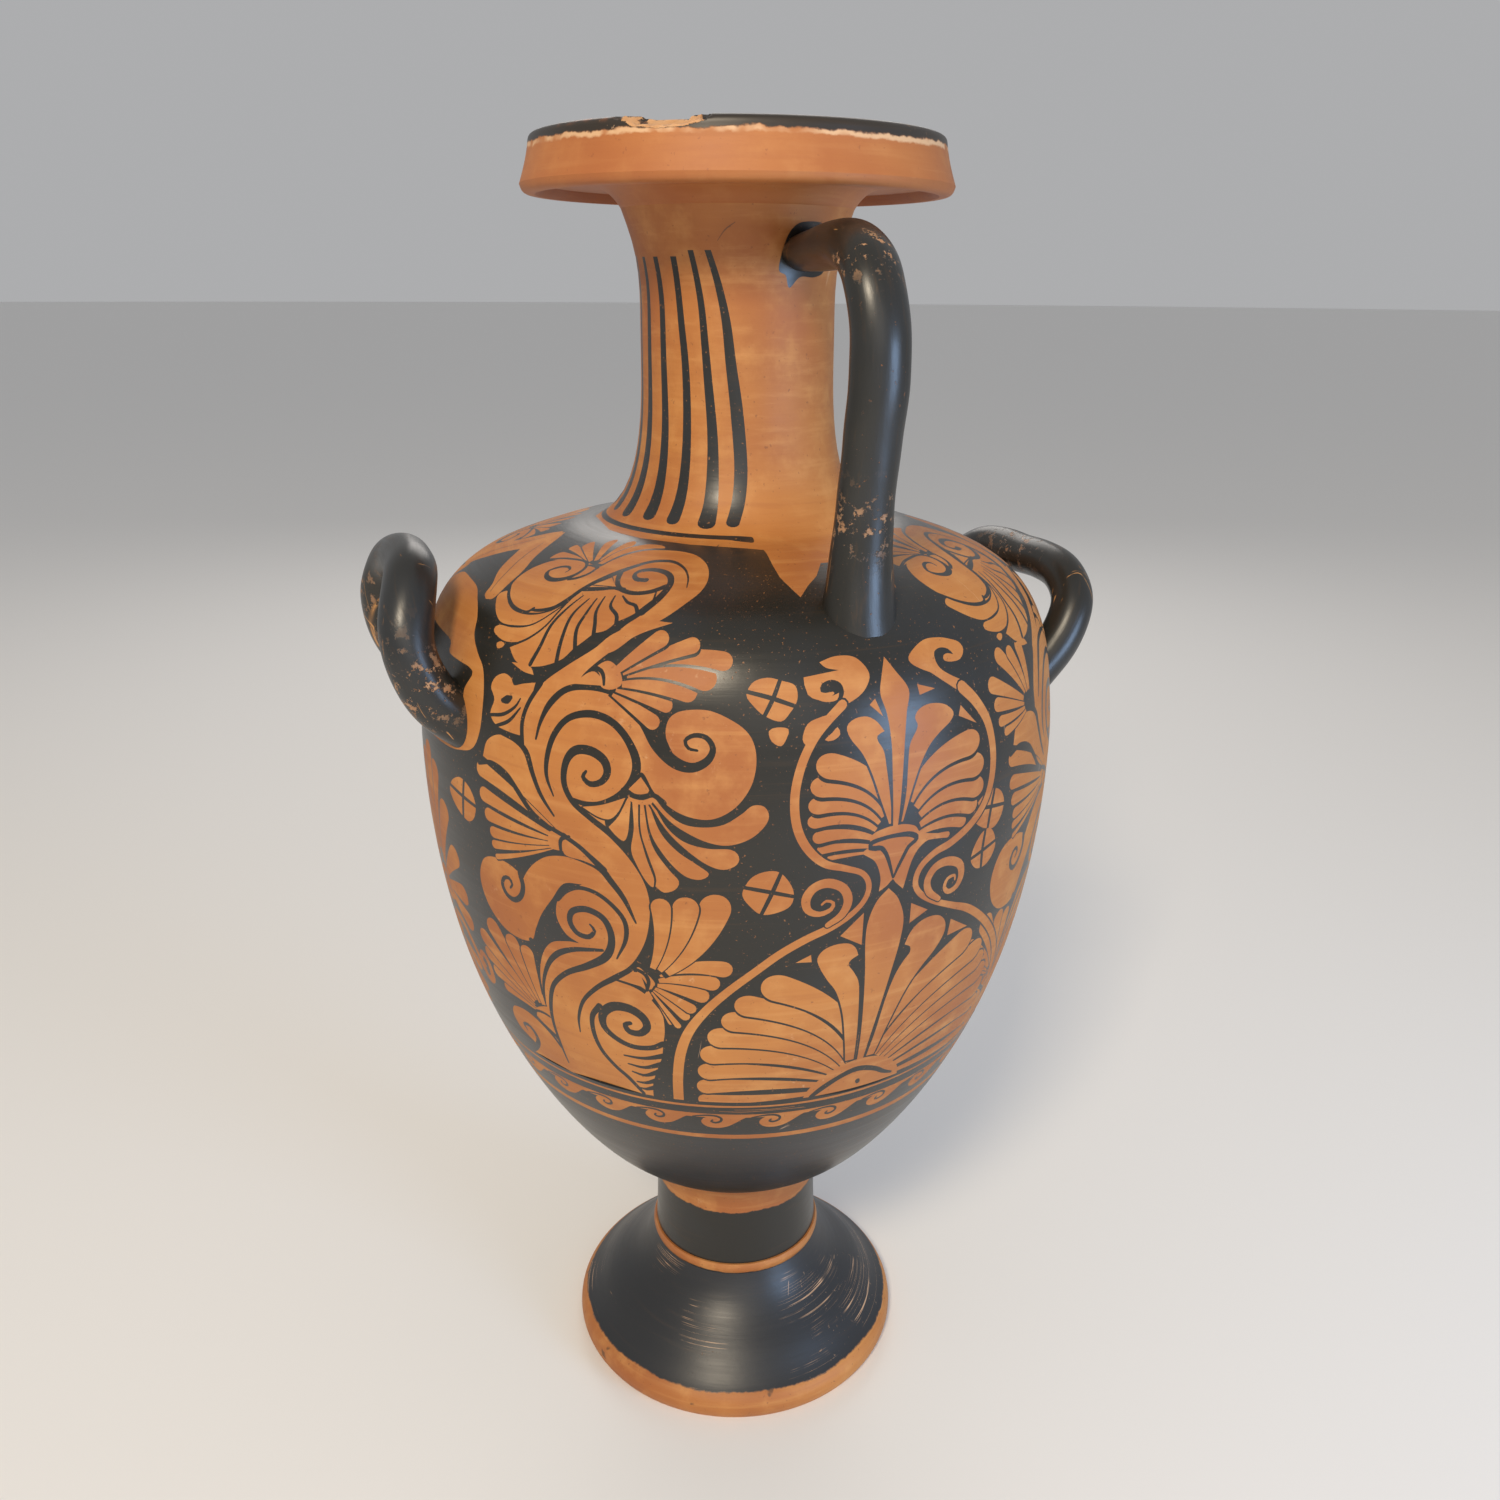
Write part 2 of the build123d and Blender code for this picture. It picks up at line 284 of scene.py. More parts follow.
def fruits():
    return (fruit([(-22.3, 282), (-21.2, 286), (-19, 287.3), (-16.8, 286.2), (-14.8, 284.5), (-14.6, 280),
                   (-15.8, 276), (-17.2, 273.4), (-19.6, 275.3), (-21.3, 278.6)],
                  [(-22.6, 283.2), (-18.5, 280.8), (-14.4, 277.6)], [(-17, 287), (-18.2, 281), (-19.8, 274.6)])
            + clay([(-19, 270.5), (-17.8, 271.6), (-16.1, 271), (-16.3, 268.4), (-17.2, 265.6), (-18.6, 267.2)])
            + fruit([(-22.6, 217.5), (-21.4, 221.5), (-19.4, 223.4), (-17.4, 223), (-15.8, 219), (-15.1, 214.5),
                     (-15.6, 210.3), (-17.6, 208), (-20, 207.6), (-21.8, 211), (-22.8, 214.5)],
                    [(-23, 218), (-19, 216), (-14.8, 213.6)], [(-17, 223.4), (-18.4, 215.5), (-20, 207.4)])
            + fruit([(17, 215), (17.7, 219), (19.2, 222.6), (21.2, 223.2), (22.8, 219.8), (23.5, 215), (22.7, 211),
                     (21, 208.7), (18.8, 209), (17.3, 212)], [(16.8, 213.9), (20, 215.4), (23.6, 217)],
                    [(20.1, 223.2), (19.8, 216), (20, 208.4)]))


# Lyre scroll and two palmettes, one above the other
def upperPalmette():
    left = [((-10.2, 226.6), 1.8, -.06), ((-11.8, 229.8), 3.4, -.14), ((-12.5, 234), 4.8, -.26),
            ((-13.3, 239.6), 5.2, -.36), ((-13.2, 245), 6.4, -.42), ((-12.9, 251.6), 7.6, -.44),
            ((-12, 259), 9.4, -.45)]
    right = [((11.4, 226.8), 2.4, .12), ((14.8, 229.6), 4.6, .24), ((17.2, 234), 6.8, .34), ((18.6, 240), 8.6, .43),
             ((18.7, 248.4), 9.6, .46), ((17.8, 257.6), 10, .47)]
    layers = fan((0.9, 226), left, 1.45, .3) + fan((0.9, 226), right, 1.45, .3)
    layers += outlined([(-0.3, 236, 1), (-1.8, 245), (-3.2, 254), (-4.7, 261), (-6.6, 266.5), (-7.1, 270.4),
                        (-5.8, 272.7), (-3.8, 273), (-2.2, 271), (-1, 267.6, 1), (-2.2, 266.4), (-2.1, 264.4),
                        (-1.2, 261), (-0.7, 254), (-0.2, 245), (0.2, 236, 1)], .8)
    layers += outlined([(1.8, 236, 1), (2.6, 246), (3, 256), (3.4, 262), (4.7, 266.4), (4.9, 268.2), (4.5, 270.4),
                        (5.4, 272.9), (7.6, 274), (10.4, 272.8), (12.1, 269.6), (11.4, 266.8), (9, 263.8), (6.9, 260),
                        (5, 253.4), (3.4, 245), (2.1, 236, 1)], .8)
    layers += outlined([(0.4, 234, 1), (0.25, 250), (0.15, 263), (-0.4, 273), (-1.2, 279.6), (-0.6, 285),
                        (0.6, 291.5, 1), (2, 286.6), (3.9, 279.8), (3.1, 272.8), (2.5, 264), (1.9, 250),
                        (1.2, 234, 1)], .8)
    layers += clay([(-3.6, 228.6), (-3, 233.2), (-0.6, 234.9), (0.8, 235), (2.4, 234.9), (4.4, 233.4), (5.6, 230.5),
                    (9.2, 228.4, 1), (6, 226), (4.2, 221), (2.9, 210.8, 1), (1.4, 214), (0.9, 215.4), (0, 213.4),
                    (-1.4, 211.6, 1), (-1.3, 217), (-2.4, 223.2), (-4.6, 227)])
    layers += dark([(-3.3, 228.3), (-3.1, 230.2), (-1, 231.2), (1.2, 231.4), (3.4, 230.9), (4.7, 229.4), (4.5, 227.9),
                    (3.4, 226.4), (2.5, 223), (1.7, 219.6), (1, 216)],
                   [1.3, 1.7, 1.5, 1.6, 2, 2, 1.6, 1.5, 1.4, 1.2, .8])
    layers += dark([(-3.3, 228.4), (-2.4, 228), (-1.4, 227.7), (-0.5, 225), (0.2, 221), (0.9, 216)],
                   [1.6, 2, 1.6, 1.4, .8])
    return layers


def lowerPalmette():
    left = [((-31, 121.6), 6.4, -.03), ((-31, 129), 8.4, -.13), ((-30.6, 137.4), 9.2, -.2), ((-30, 146.4), 9.8, -.26),
            ((-28.6, 155.4), 10, -.29), ((-26.2, 163.6), 9.6, -.31), ((-24, 171.2), 9.8, -.33),
            ((-19.7, 179.6), 12, -.36)]
    right = [(((-t[0] + 1.2), t[1] + 1), w * 1.05, -b) for t, w, b in left]
    layers = fan((-0.2, 122), left, .95, .2) + fan((-0.2, 122), right, .95, .2)
    layers += outlined([(-1.7, 138, 1), (-2.1, 150), (-2.7, 164), (-3.3, 175), (-4.3, 180), (-5.5, 184), (-5.2, 186),
                        (-4, 187.6, 1), (-4.6, 190.8), (-5.8, 193), (-7.9, 193.4), (-9.9, 191.9), (-10.9, 188.6),
                        (-10.4, 184.6), (-9, 179), (-7.2, 173), (-5.6, 163), (-4.4, 150), (-3.4, 138, 1)], .8)
    layers += outlined([(0.9, 138, 1), (1.6, 150), (2.3, 164), (3.3, 174), (4.6, 180), (5.8, 183.4), (5.7, 186),
                        (4.5, 187.6, 1), (5.3, 192), (6.8, 195.2), (9, 196.4), (11.3, 195.2), (12.8, 191.3),
                        (12.8, 186.4), (11.2, 180.8), (8.6, 174.6), (6.2, 166), (4, 152), (2.5, 138, 1)], .8)
    layers += outlined([(-0.9, 137, 1), (-1.3, 150), (-1.9, 166), (-2.4, 179), (-3, 193), (-2.8, 201), (-1.6, 208),
                        (0.3, 212.2, 1), (2.2, 207.4), (3.6, 199), (3.4, 189), (2.6, 178), (1.7, 165), (0.8, 150),
                        (0.3, 137, 1)], .85)
    layers += clay([(-10.6, 120.2, 1), (-9.8, 125), (-7.6, 130.6), (-4.2, 135.6), (-0.2, 137.4), (4, 135.8),
                    (7.6, 130.6), (9.8, 125.2), (10.6, 120.2, 1)])
    layers += dark([(-8.9, 120.6), (-7, 124.6), (-4.2, 128.9), (-1.4, 131.5), (1, 131.4), (4, 128.8), (6.4, 125.3),
                    (8.6, 123)], [2.2, 3, 2.8, 3, 2.8, 2.4, 2, 1.2])
    layers += dark([(0.5, 124.6), (0.7, 123.6)], [2.2, 2])
    return layers


def lyre():
    layers = band([(-12.6, 286), (-12.4, 282.4), (-10.6, 280.6), (-9, 281.4)], [1.2, 3, 2.4, 1], .5)
    layers += clay([(-8.6, 276, 1), (-4.9, 279.6), (-3.2, 283), (-2.6, 286.6), (-3.6, 290.6), (-5.2, 292.9),
                    (-8, 293.2), (-10.6, 291.6, 1), (-9.6, 289.6), (-7.6, 288.6, 1), (-13.4, 287, 1), (-13.2, 283.4),
                    (-11.8, 280.2), (-10.2, 278.8), (-8.4, 279.2), (-8, 281.4, 1), (-9.4, 280.6), (-10.9, 282.2),
                    (-10.6, 284.6), (-9, 285.7), (-7.6, 284.4), (-7.2, 281.6), (-7.8, 279), (-10, 275, 1)])
    layers += clay([(8.6, 284, 1), (11.5, 279.4), (14.2, 275.6), (16.2, 274.8), (15.2, 278.6), (12.6, 281.8),
                    (10.8, 284.6), (10.2, 287.6), (10.5, 290.4), (12, 291.4), (13.6, 290.4), (14.4, 288.2, 1),
                    (13.2, 289), (12.2, 288.6), (12, 287), (13.4, 286), (15.6, 286.2), (17, 289), (16.6, 291.8),
                    (14.8, 293.6), (12.6, 294.9), (9.6, 295.2), (7, 293.2), (5.1, 290.2), (5.3, 288), (6.8, 285.8)])
    leftTendril = [(-7.6, 277.6), (-10.2, 272.6), (-12.4, 267), (-14.2, 259), (-15.2, 249), (-14.9, 239), (-13.3, 231),
                   (-10.6, 225), (-7.2, 222.3), (-4.4, 219.6), (-3.2, 215), (-3.7, 209.6), (-5.8, 204.6), (-9, 200.6),
                   (-13, 196.8), (-17, 191.6), (-21, 184.4), (-25, 176.6), (-28.6, 168), (-31.6, 158), (-33.4, 147),
                   (-34.4, 134), (-34.9, 120.4)]
    layers += band(leftTendril, [3.2, 3, 3, 3, 3, 3, 3, 2.4, 2, 2, 2, 2.2, 3, 3, 3, 3, 3.2, 3.6, 4, 4.2, 4.4], .7)
    rightTendril = [(14.6, 277), (17.4, 271), (20, 262.6), (21.2, 252), (20.8, 242), (19.2, 234), (16.2, 228),
                    (12, 223.6), (8.6, 221.6), (6, 217.6), (5.2, 212), (6.4, 207), (9.4, 202.4), (13.4, 198.2),
                    (17.6, 194), (21.6, 188), (25.6, 180.4), (29.6, 171), (33, 160), (35, 148), (36, 134),
                    (36.4, 120.4)]
    layers += band(rightTendril, [4.4, 4, 3.6, 3.4, 3.2, 3.2, 3, 2.6, 2.4, 2.2, 2.2, 2.4, 3, 3.2, 3.2, 3.6, 4, 4.2,
                                  4.4], .7)
    layers += band([(-9.6, 201.6), (-7.4, 205), (-6.5, 210), (-7.4, 215), (-9.8, 217.6), (-12, 216.4), (-13.2, 212.4),
                    (-12.8, 208), (-11, 206.2), (-9.2, 207.6), (-8.9, 210), (-10, 211), (-10.7, 209.8)],
                   [2, 2.8, 3.2, 3.2, 3.4, 3.2, 3.2, 2.6, 2, 1.6, 1.2, 1, .8], .45)
    layers += band([(10.4, 202.6), (8.2, 206.6), (7.6, 211.4), (9, 215.8), (11.6, 216.6), (14.2, 214), (15, 209.4),
                    (14.2, 205.2), (12.4, 204.2), (11.4, 206.6), (11.9, 209.6), (13.4, 210), (13.6, 208.2)],
                   [2, 2.8, 3, 3.2, 3.4, 3.2, 3, 2.4, 2, 1.6, 1.4, 1.1, .8], .45)
    for p in ([(-3.2, 276.6, 1), (-2.2, 278.4, 1), (-1.1, 272.4, 1)],
              [(5.6, 281, 1), (8.9, 278.6, 1), (5.8, 277.4, 1)],
              [(13.8, 271.2, 1), (17.2, 263.6, 1), (13.2, 267.8, 1)],
              [(4.8, 204.2, 1), (8.3, 199.6, 1), (4.9, 196.2, 1)],
              [(14, 192, 1), (18.8, 185.4, 1), (13.8, 185.2, 1)],
              [(-3.7, 204.4, 1), (-3.6, 191.6, 1), (-7.4, 196.6, 1)],
              [(-12, 190.4, 1), (-11.8, 187.4, 1), (-14.4, 187.7, 1)]):
        layers += clay(p)
    layers += clay([(-13.2, 272.2), (-11.4, 274), (-10, 274.4), (-11.4, 271), (-13, 265.4), (-14, 267.4)])
    layers += clay([(-9.4, 269), (-8.6, 270.6), (-8.2, 268.2), (-9.4, 266.4), (-10.6, 266.8)])
    return layers


# The interlaced scrolls between the palmettes and a side handle
def scrollGroup(extraFan=False):
    layers = []
    # lowest bulb with its eye
    layers += clay([(-58.4, 120.4, 1), (-58.6, 134), (-60.6, 140.5), (-64, 145.8), (-68, 147), (-71, 143.6),
                    (-72.2, 138), (-71.4, 132.8), (-69.2, 129.8), (-67.8, 128), (-69.6, 123.5), (-70.6, 120.4, 1)])
    layers += dark([(-70.4, 121), (-68, 125.4), (-66.2, 130.4), (-66.2, 135), (-67.6, 137.6), (-69.2, 136.4),
                    (-68.8, 133.6)],
                   [2.4, 2.8, 2.6, 2.2, 2, 1.6, .9])
    layers += fan((-59.8, 148), [((-71.6, 153.6), 4.6, -.08), ((-74, 159.6), 6, -.1), ((-75.4, 167), 7, -.1),
                                 ((-75.4, 175.4), 8.4, -.08), ((-71.2, 184.4), 9.6, -.04), ((-65.6, 182.4), 8.4, 0),
                                 ((-61.6, 180.6), 7.4, .03)], .7, .2)
    layers += clay([(-63.4, 146.8), (-62.8, 150.8), (-60.6, 153.6), (-59, 153.6), (-58.6, 146), (-59, 140, 1)])
    layers += dark([(-58.9, 133.6), (-60.6, 139.6), (-63.4, 144.6), (-66.6, 147), (-70.4, 145.8), (-73, 141.6)],
                   [1.4, 1.5, 1.5, 1.8, 2, 1.4])
    layers += dark([(-63.6, 146.8), (-63, 149.4), (-61, 150.1), (-59.2, 149.2)], [1.2, 1.3, 1.3, 1.2])
    # the wide field that rises from the base line and winds up through the whole group
    layers += clay([(-59, 120.4, 1), (-59.4, 150), (-59.6, 158), (-59.2, 170), (-57.6, 180), (-55.2, 186.4),
                    (-51.9, 188.9), (-49.6, 189.4, 1), (-52, 192), (-53.4, 198), (-52.8, 205), (-50.4, 210),
                    (-48, 213.4, 1), (-51.4, 212), (-54, 204.6), (-56.4, 197.6), (-58.2, 190.4), (-59.6, 184.4),
                    (-62.6, 182.8), (-66.4, 184.4), (-69.6, 190.2), (-71.1, 198), (-70.8, 205), (-69, 211),
                    (-66, 213.4), (-62.6, 213), (-60.4, 211.4), (-59, 213.6), (-56.5, 219), (-53.6, 222),
                    (-50, 224.6), (-50.8, 230, 1), (-54, 232), (-57, 236), (-59.8, 242.4), (-62.4, 246.8),
                    (-65.4, 248.8), (-67.6, 250.2, 1), (-66.6, 256.2), (-63.8, 259.6),
                    (-61, 259), (-58.6, 258, 1), (-58.7, 265), (-57.8, 272), (-55.6, 280), (-51.8, 287), (-47.6, 294),
                    (-45, 300), (-40, 306), (-35, 306, 1), (-40.6, 300.4), (-45.6, 291.6), (-48.8, 283.6), (-46, 283),
                    (-42.8, 281.6), (-39.8, 277.8), (-37.4, 271.8), (-34.6, 264), (-33, 262), (-34.2, 268),
                    (-34, 273), (-32.8, 275.8), (-30.6, 277), (-27.8, 276.9), (-25, 274.6), (-22.4, 270.8),
                    (-21.1, 265.8), (-20.9, 259), (-21.8, 252), (-24, 245.6), (-27, 241.9), (-30, 241.9),
                    (-33, 244.4), (-35.8, 249.6), (-37.8, 256), (-39.6, 250), (-43.6, 238), (-40, 227), (-37.4, 217),
                    (-36.6, 210), (-37, 200), (-38.4, 190.4), (-40.4, 183.4), (-38.4, 174.8), (-37, 170.6),
                    (-36, 164.6), (-35.9, 157), (-36.4, 150.4), (-37, 143), (-38.6, 134), (-39.6, 127),
                    (-40, 120.4, 1)])
    layers += dark([(-52.8, 147.4), (-52.3, 155), (-50.5, 164), (-47.2, 172), (-43.6, 178), (-41, 182.4),
                    (-39.1, 188), (-37.5, 195.6), (-36.7, 204), (-36.6, 212), (-37.5, 219.4), (-39.6, 227),
                    (-42.6, 233.6), (-46, 238.4), (-49, 243), (-50.5, 249), (-50.2, 256), (-48.6, 260.4), (-46, 261),
                    (-43.8, 258.6), (-43.2, 254.6), (-44.2, 251.2), (-46, 250), (-47.2, 252), (-46.7, 254)],
                   [.6, 1.3, 1.6, 2, 2.4, 2, 1.7, 1.6, 1.7, 1.8, 2.2, 2.6, 2.2, 2, 2.2, 2.4, 3, 3.2, 3.2, 2.8, 2.2, 2,
                    1.6, 1])
    layers += dark([(-52.4, 243.6), (-53.7, 250), (-53.6, 257), (-52.4, 264.6), (-50, 270.6), (-46.4, 273),
                    (-43, 271.6), (-40.4, 267), (-38.7, 260), (-39, 253.6), (-41, 247.8), (-44, 244), (-46.6, 243),
                    (-49, 243.6)],
                   [.6, 1.5, 2, 2.2, 2.2, 2.5, 2.5, 2.6, 3, 3, 2.6, 2, 1.8, 1.6])
    layers += dark([(-55.9, 261.6), (-55.1, 268), (-53.5, 274.6), (-50.8, 279.8), (-47, 281.4), (-43, 280.6),
                    (-40, 277.2), (-37.6, 271.6), (-35.4, 265), (-32.8, 260), (-30.2, 258.6), (-28, 261),
                    (-27.2, 265), (-28.2, 268.4), (-30, 269), (-31.3, 267.2), (-30.8, 264.8), (-29.5, 264.2)],
                   [.8, 1.5, 2.4, 2.2, 2, 2, 2.2, 3, 4.2, 4, 3.2, 2.6, 2, 1.7, 1.5, 1.3, 1.1, .8])
    # lower spiral and the line that runs from it to the base
    layers += dark([(-47.2, 198.2), (-46.5, 196), (-47.7, 193), (-49.8, 193.6), (-50.9, 197.6), (-50.2, 202),
                    (-47.6, 204), (-44.9, 202), (-43.7, 197), (-43.8, 191), (-45.2, 185.6), (-48.6, 180.4),
                    (-53, 174.8), (-56.5, 167), (-58.3, 157), (-59, 147), (-58.9, 136), (-58.6, 126)],
                   [.8, 1.4, 2, 2.2, 2.3, 2.4, 2.5, 2.5, 2.6, 2.9, 3.2, 2.8, 2.2, 2, 1.9, 1.6, 1.4, .8])
    layers += dark([(-52.9, 205.6), (-51, 209.6), (-48.5, 211.9), (-45.5, 211), (-42.8, 207), (-41.1, 201.6),
                    (-41.2, 194.6), (-43, 186.2)], [2.4, 1.9, 1.6, 1.6, 1.7, 1.8, 1.6, .6])
    layers += dark([(-59.7, 156), (-58.9, 166), (-56.8, 176), (-54.2, 182.4), (-51, 186), (-48, 187.6), (-45.4, 188.6)],
                   [.7, 1.4, 2, 2.4, 2, 1.6, 1.2])
    layers += dark([(-59.8, 184), (-58.6, 180), (-59.6, 172), (-59.9, 160)], [2.6, 2, 1.2, .8])
    layers += dark([(-60.3, 211), (-59.9, 206), (-60.7, 201.6), (-62.4, 199), (-64.1, 200), (-64.9, 203.4),
                    (-64.2, 206.6), (-63, 207.2), (-62.4, 205.2), (-63, 203.4)],
                   [2.2, 2.2, 2.2, 2.2, 2, 1.8, 1.6, 1.5, 1.2, .8])
    layers += dark([(-60.2, 209.4), (-58.6, 214.4), (-56.6, 218.8), (-54, 222.3), (-50.5, 223.8), (-47, 222.6),
                    (-44.6, 220.6), (-43, 216.6), (-41, 210.6), (-39.3, 202)],
                   [2.2, 2.1, 2.2, 2.4, 2.5, 2.4, 2.6, 2.4, 1.9, .7])
    layers += dark([(-50.8, 230.4), (-48, 227), (-45.6, 223.4), (-44, 220.4)], [1.8, 1.7, 1.8, 2.2])
    # big bulb at the base with its comb
    layers += dark([(-43.6, 177.6), (-40.4, 176), (-38, 172.6), (-36.2, 167)], [2, 1.9, 1.8, 1.4])
    layers += clay([(-43.1, 177.4, 1), (-40.3, 181.8), (-39.2, 180.8), (-38.5, 175.6, 1)])
    layers += dark([(-36.4, 150.4), (-38.6, 147.6), (-42, 146.6), (-45, 148.8), (-47.2, 153.6), (-47, 160),
                    (-44.8, 164.6), (-41.8, 165), (-39.6, 162), (-39, 157.6), (-40.4, 154), (-42.4, 154), (-43, 157),
                    (-42, 158.2)],
                   [2.6, 2.4, 2.4, 2.6, 3, 3.6, 4, 4, 3.6, 3.2, 3, 2.8, 2.2, 1.8])
    layers += dark([(-47.4, 163.4), (-49.3, 157.4), (-49.7, 149), (-48.9, 141), (-46.8, 134), (-44.4, 128.6),
                    (-42, 121)], [2.6, 2.2, 2.1, 2, 2, 2.1, 1.8])
    for i, (a, b, c) in enumerate([(144.2, 141.4, 141), (139.6, 136.4, 136.8), (135.4, 132, 132.8),
                                   (130.4, 127.6, 127.4), (126, 123.8, 124)]):
        layers += dark([(-36.6 - .6 * i, a), (-40.4 - .2 * i, b), (-44.3 + .5 * i, c)], [2.6, 1.6, .8])
    # petals towards the palmettes
    layers += [(brush([(-38.3, 171.4), (-37.4, 174.6), (-37.7, 178.4), (-39.4, 183)], [3.4, 3.4, 3.2, 2.2]), 0)]
    layers += fan((-38.6, 177.8), [((-34.6, 160.2), 1.9, .04), ((-33.2, 159), 2.6, 0), ((-31.6, 163.4), 4.2, .02),
                                   ((-30.4, 167.2), 5, .04), ((-28.1, 173.4), 6.6, .08), ((-26.3, 179.2), 6.6, .16),
                                   ((-24.3, 185.2), 7.2, .26), ((-26.4, 215), 12, -.24), ((-31.2, 213.6), 10, -.2),
                                   ((-35.4, 212.4), 7.6, -.18)], .7, .2)
    layers += dark([(-40, 183.2), (-38.5, 181.6), (-37.9, 178.6), (-38.3, 174.6)], [1.3, 1.6, 1.5, 1.2])
    # petals hanging from the upper spiral
    layers += outlined([(-40.3, 247, 1), (-41, 243.2), (-42.6, 239.2), (-44.6, 239.2), (-47.3, 241.8, 1),
                        (-44, 243.6)], .6)
    layers += outlined([(-39.9, 247, 1), (-41.4, 240.4), (-43, 236.2, 1), (-41.9, 233.6), (-40.6, 232), (-39.9, 235.4),
                        (-39.6, 242), (-39.4, 247, 1)], .7)
    layers += outlined([(-39.2, 246, 1), (-39, 237), (-39.5, 229.4), (-38.8, 224.4), (-37.4, 218.6), (-36.3, 216.4),
                        (-36.1, 219.6), (-37.2, 227), (-38, 235), (-38.3, 246, 1)], .6)
    layers += outlined([(-38, 246, 1), (-37.9, 236), (-36.9, 228), (-35.8, 220.4), (-35.9, 216.8, 1), (-34.6, 214.8),
                        (-32.9, 216.2), (-32.3, 219.4), (-33.8, 223.4), (-35.9, 230), (-36.9, 237), (-37.4, 246, 1)],
                       .65)
    layers += outlined([(-37.2, 246, 1), (-36.4, 236), (-34.8, 229.4), (-32.8, 224), (-31, 221), (-29, 220.4),
                        (-27.8, 222.6), (-29.6, 225.8), (-32.6, 230.4), (-35, 236.6), (-36.7, 246, 1)], .65)
    layers += outlined([(-36.6, 246, 1), (-34, 237.2), (-31, 230.6), (-28, 225.8), (-25.6, 224.2), (-23.7, 226),
                        (-23.4, 229), (-24.6, 231.4), (-28, 231.6), (-31.4, 233.6), (-34, 238.4), (-36.1, 246.4, 1)],
                       .65)
    layers += outlined([(-36.3, 247, 1), (-33.6, 240.6), (-31, 236.8), (-28, 233.8), (-25, 232.8), (-22, 234.8),
                        (-19.9, 238.6), (-19, 242.6), (-19.7, 246), (-21.4, 246.4), (-23, 243.6), (-25.6, 240),
                        (-28.6, 238.9), (-31.6, 239.8), (-34, 243.4), (-35.8, 248, 1)], .8)
    layers += clay([(-40.2, 249, 1), (-39.4, 246), (-37.8, 245.2), (-36.2, 246), (-35.8, 249, 1)])
    layers += dark([(-40.6, 249.4), (-39, 247.9), (-37.6, 247.6), (-36, 248.8), (-34.4, 246.4)], [2, 1.7, 1.6, 1.7, 2])
    layers += outlined([(-37.9, 254.4, 1), (-36.6, 250.2), (-37.4, 248.9), (-38.8, 248.7), (-39.8, 250, 1)], .8)
    # petals at the top of the group
    layers += fan((-45.4, 282.6), [((-35.4, 271.2), 5.6, .05), ((-33.4, 277.4), 5, .04), ((-29.7, 282), 7.4, .1),
                                   ((-26.9, 285.6), 8.6, .24), ((-24.4, 292), 7, .24), ((-29.8, 298.8), 6.4, .06),
                                   ((-35.4, 301.6), 7.4, .02)], 1.3, .24)
    layers += clay([(-46.4, 288), (-44.6, 290.6), (-42.6, 288.4), (-41.6, 284), (-43, 281.6), (-45, 282), (-45.6, 286)])
    layers += clay([(-49.7, 281.8, 1), (-48, 285.4), (-46.6, 286.6), (-45.4, 285), (-44.9, 282.4, 1)])
    layers += dark([(-46.6, 288), (-45.4, 287), (-44.8, 285), (-44.6, 282.8)], [1.4, 1.5, 1.3, .9])
    # side petals and the patch by the handle
    layers += fan((-50, 227.6), [((-65.8, 213.8), 2.2, .04), ((-66.4, 218.4), 3.4, .05), ((-66.6, 223.2), 4.6, .04),
                                 ((-67.6, 229.6), 5.4, .02), ((-68.6, 236.8), 6, -.03), ((-69.2, 246), 6.4, -.12)],
                  .6, .16)
    layers += clay([(-53.4, 224.6), (-53.6, 229.6), (-52.4, 231.2), (-50.4, 230, 1), (-50.2, 224.6, 1)])
    layers += clay([(-50.8, 228.8), (-48.6, 228.4), (-46.4, 225), (-44.3, 220.8, 1), (-47.4, 222.4), (-50.8, 223.4)])
    layers += dark([(-49.8, 230.2), (-51.2, 228.8), (-51.5, 226.6), (-51.4, 224)], [1.2, 1.5, 1.4, 1.2])
    layers += dark([(-53.6, 232.2), (-50.6, 230), (-47.6, 226.6), (-44.6, 221)], [1.6, 1.7, 1.8, 2])
    layers += dark([(-68.6, 247.2), (-65.4, 248.9), (-62, 246.9), (-59.4, 241.9), (-56.6, 235.8), (-53.4, 232)],
                   [1.6, 1.7, 1.9, 2.1, 2, 1.6])
    layers += dark([(-67.2, 261.6), (-63, 260.4), (-60, 259.2), (-57.8, 256.4), (-56.4, 249.6), (-54.8, 243),
                    (-52.4, 236.6)],
                   [2, 1.6, 1.7, 2.4, 2, 1.6, .8])
    if extraFan:
        layers += fan((-60.6, 262), [((-70.4, 256.4), 3.6, .1), ((-72, 261), 4.4, .05), ((-73, 267.6), 5.6, 0),
                                     ((-74, 275.4), 6.6, -.02), ((-70.2, 285), 7, -.04), ((-66.2, 284.8), 6, -.02),
                                     ((-62, 286), 7, 0)], .65, .2)
    else:
        layers += clay([(-66.6, 274.8), (-65.9, 278.4), (-64, 280.4), (-62.2, 279.4), (-61.4, 277.4), (-59.6, 278.6),
                        (-57, 279.9, 1), (-57.6, 272), (-58.6, 265), (-58.9, 261.4, 1), (-61.6, 261.6), (-64.6, 262.6),
                        (-66.1, 266), (-65.4, 271)])
        layers += dark([(-63.5, 271.4), (-62.4, 272.2), (-61.6, 273.2)], [1.6, 3, 1.4])
        layers += dark([(-66, 265.4), (-63, 267), (-60.6, 270.4), (-59.6, 273.6)], [1.2, 1.3, 1, .6])
        layers += dark([(-64.6, 262.2), (-61.6, 265.4), (-59.4, 270.6)], [1.2, 1.3, .6])
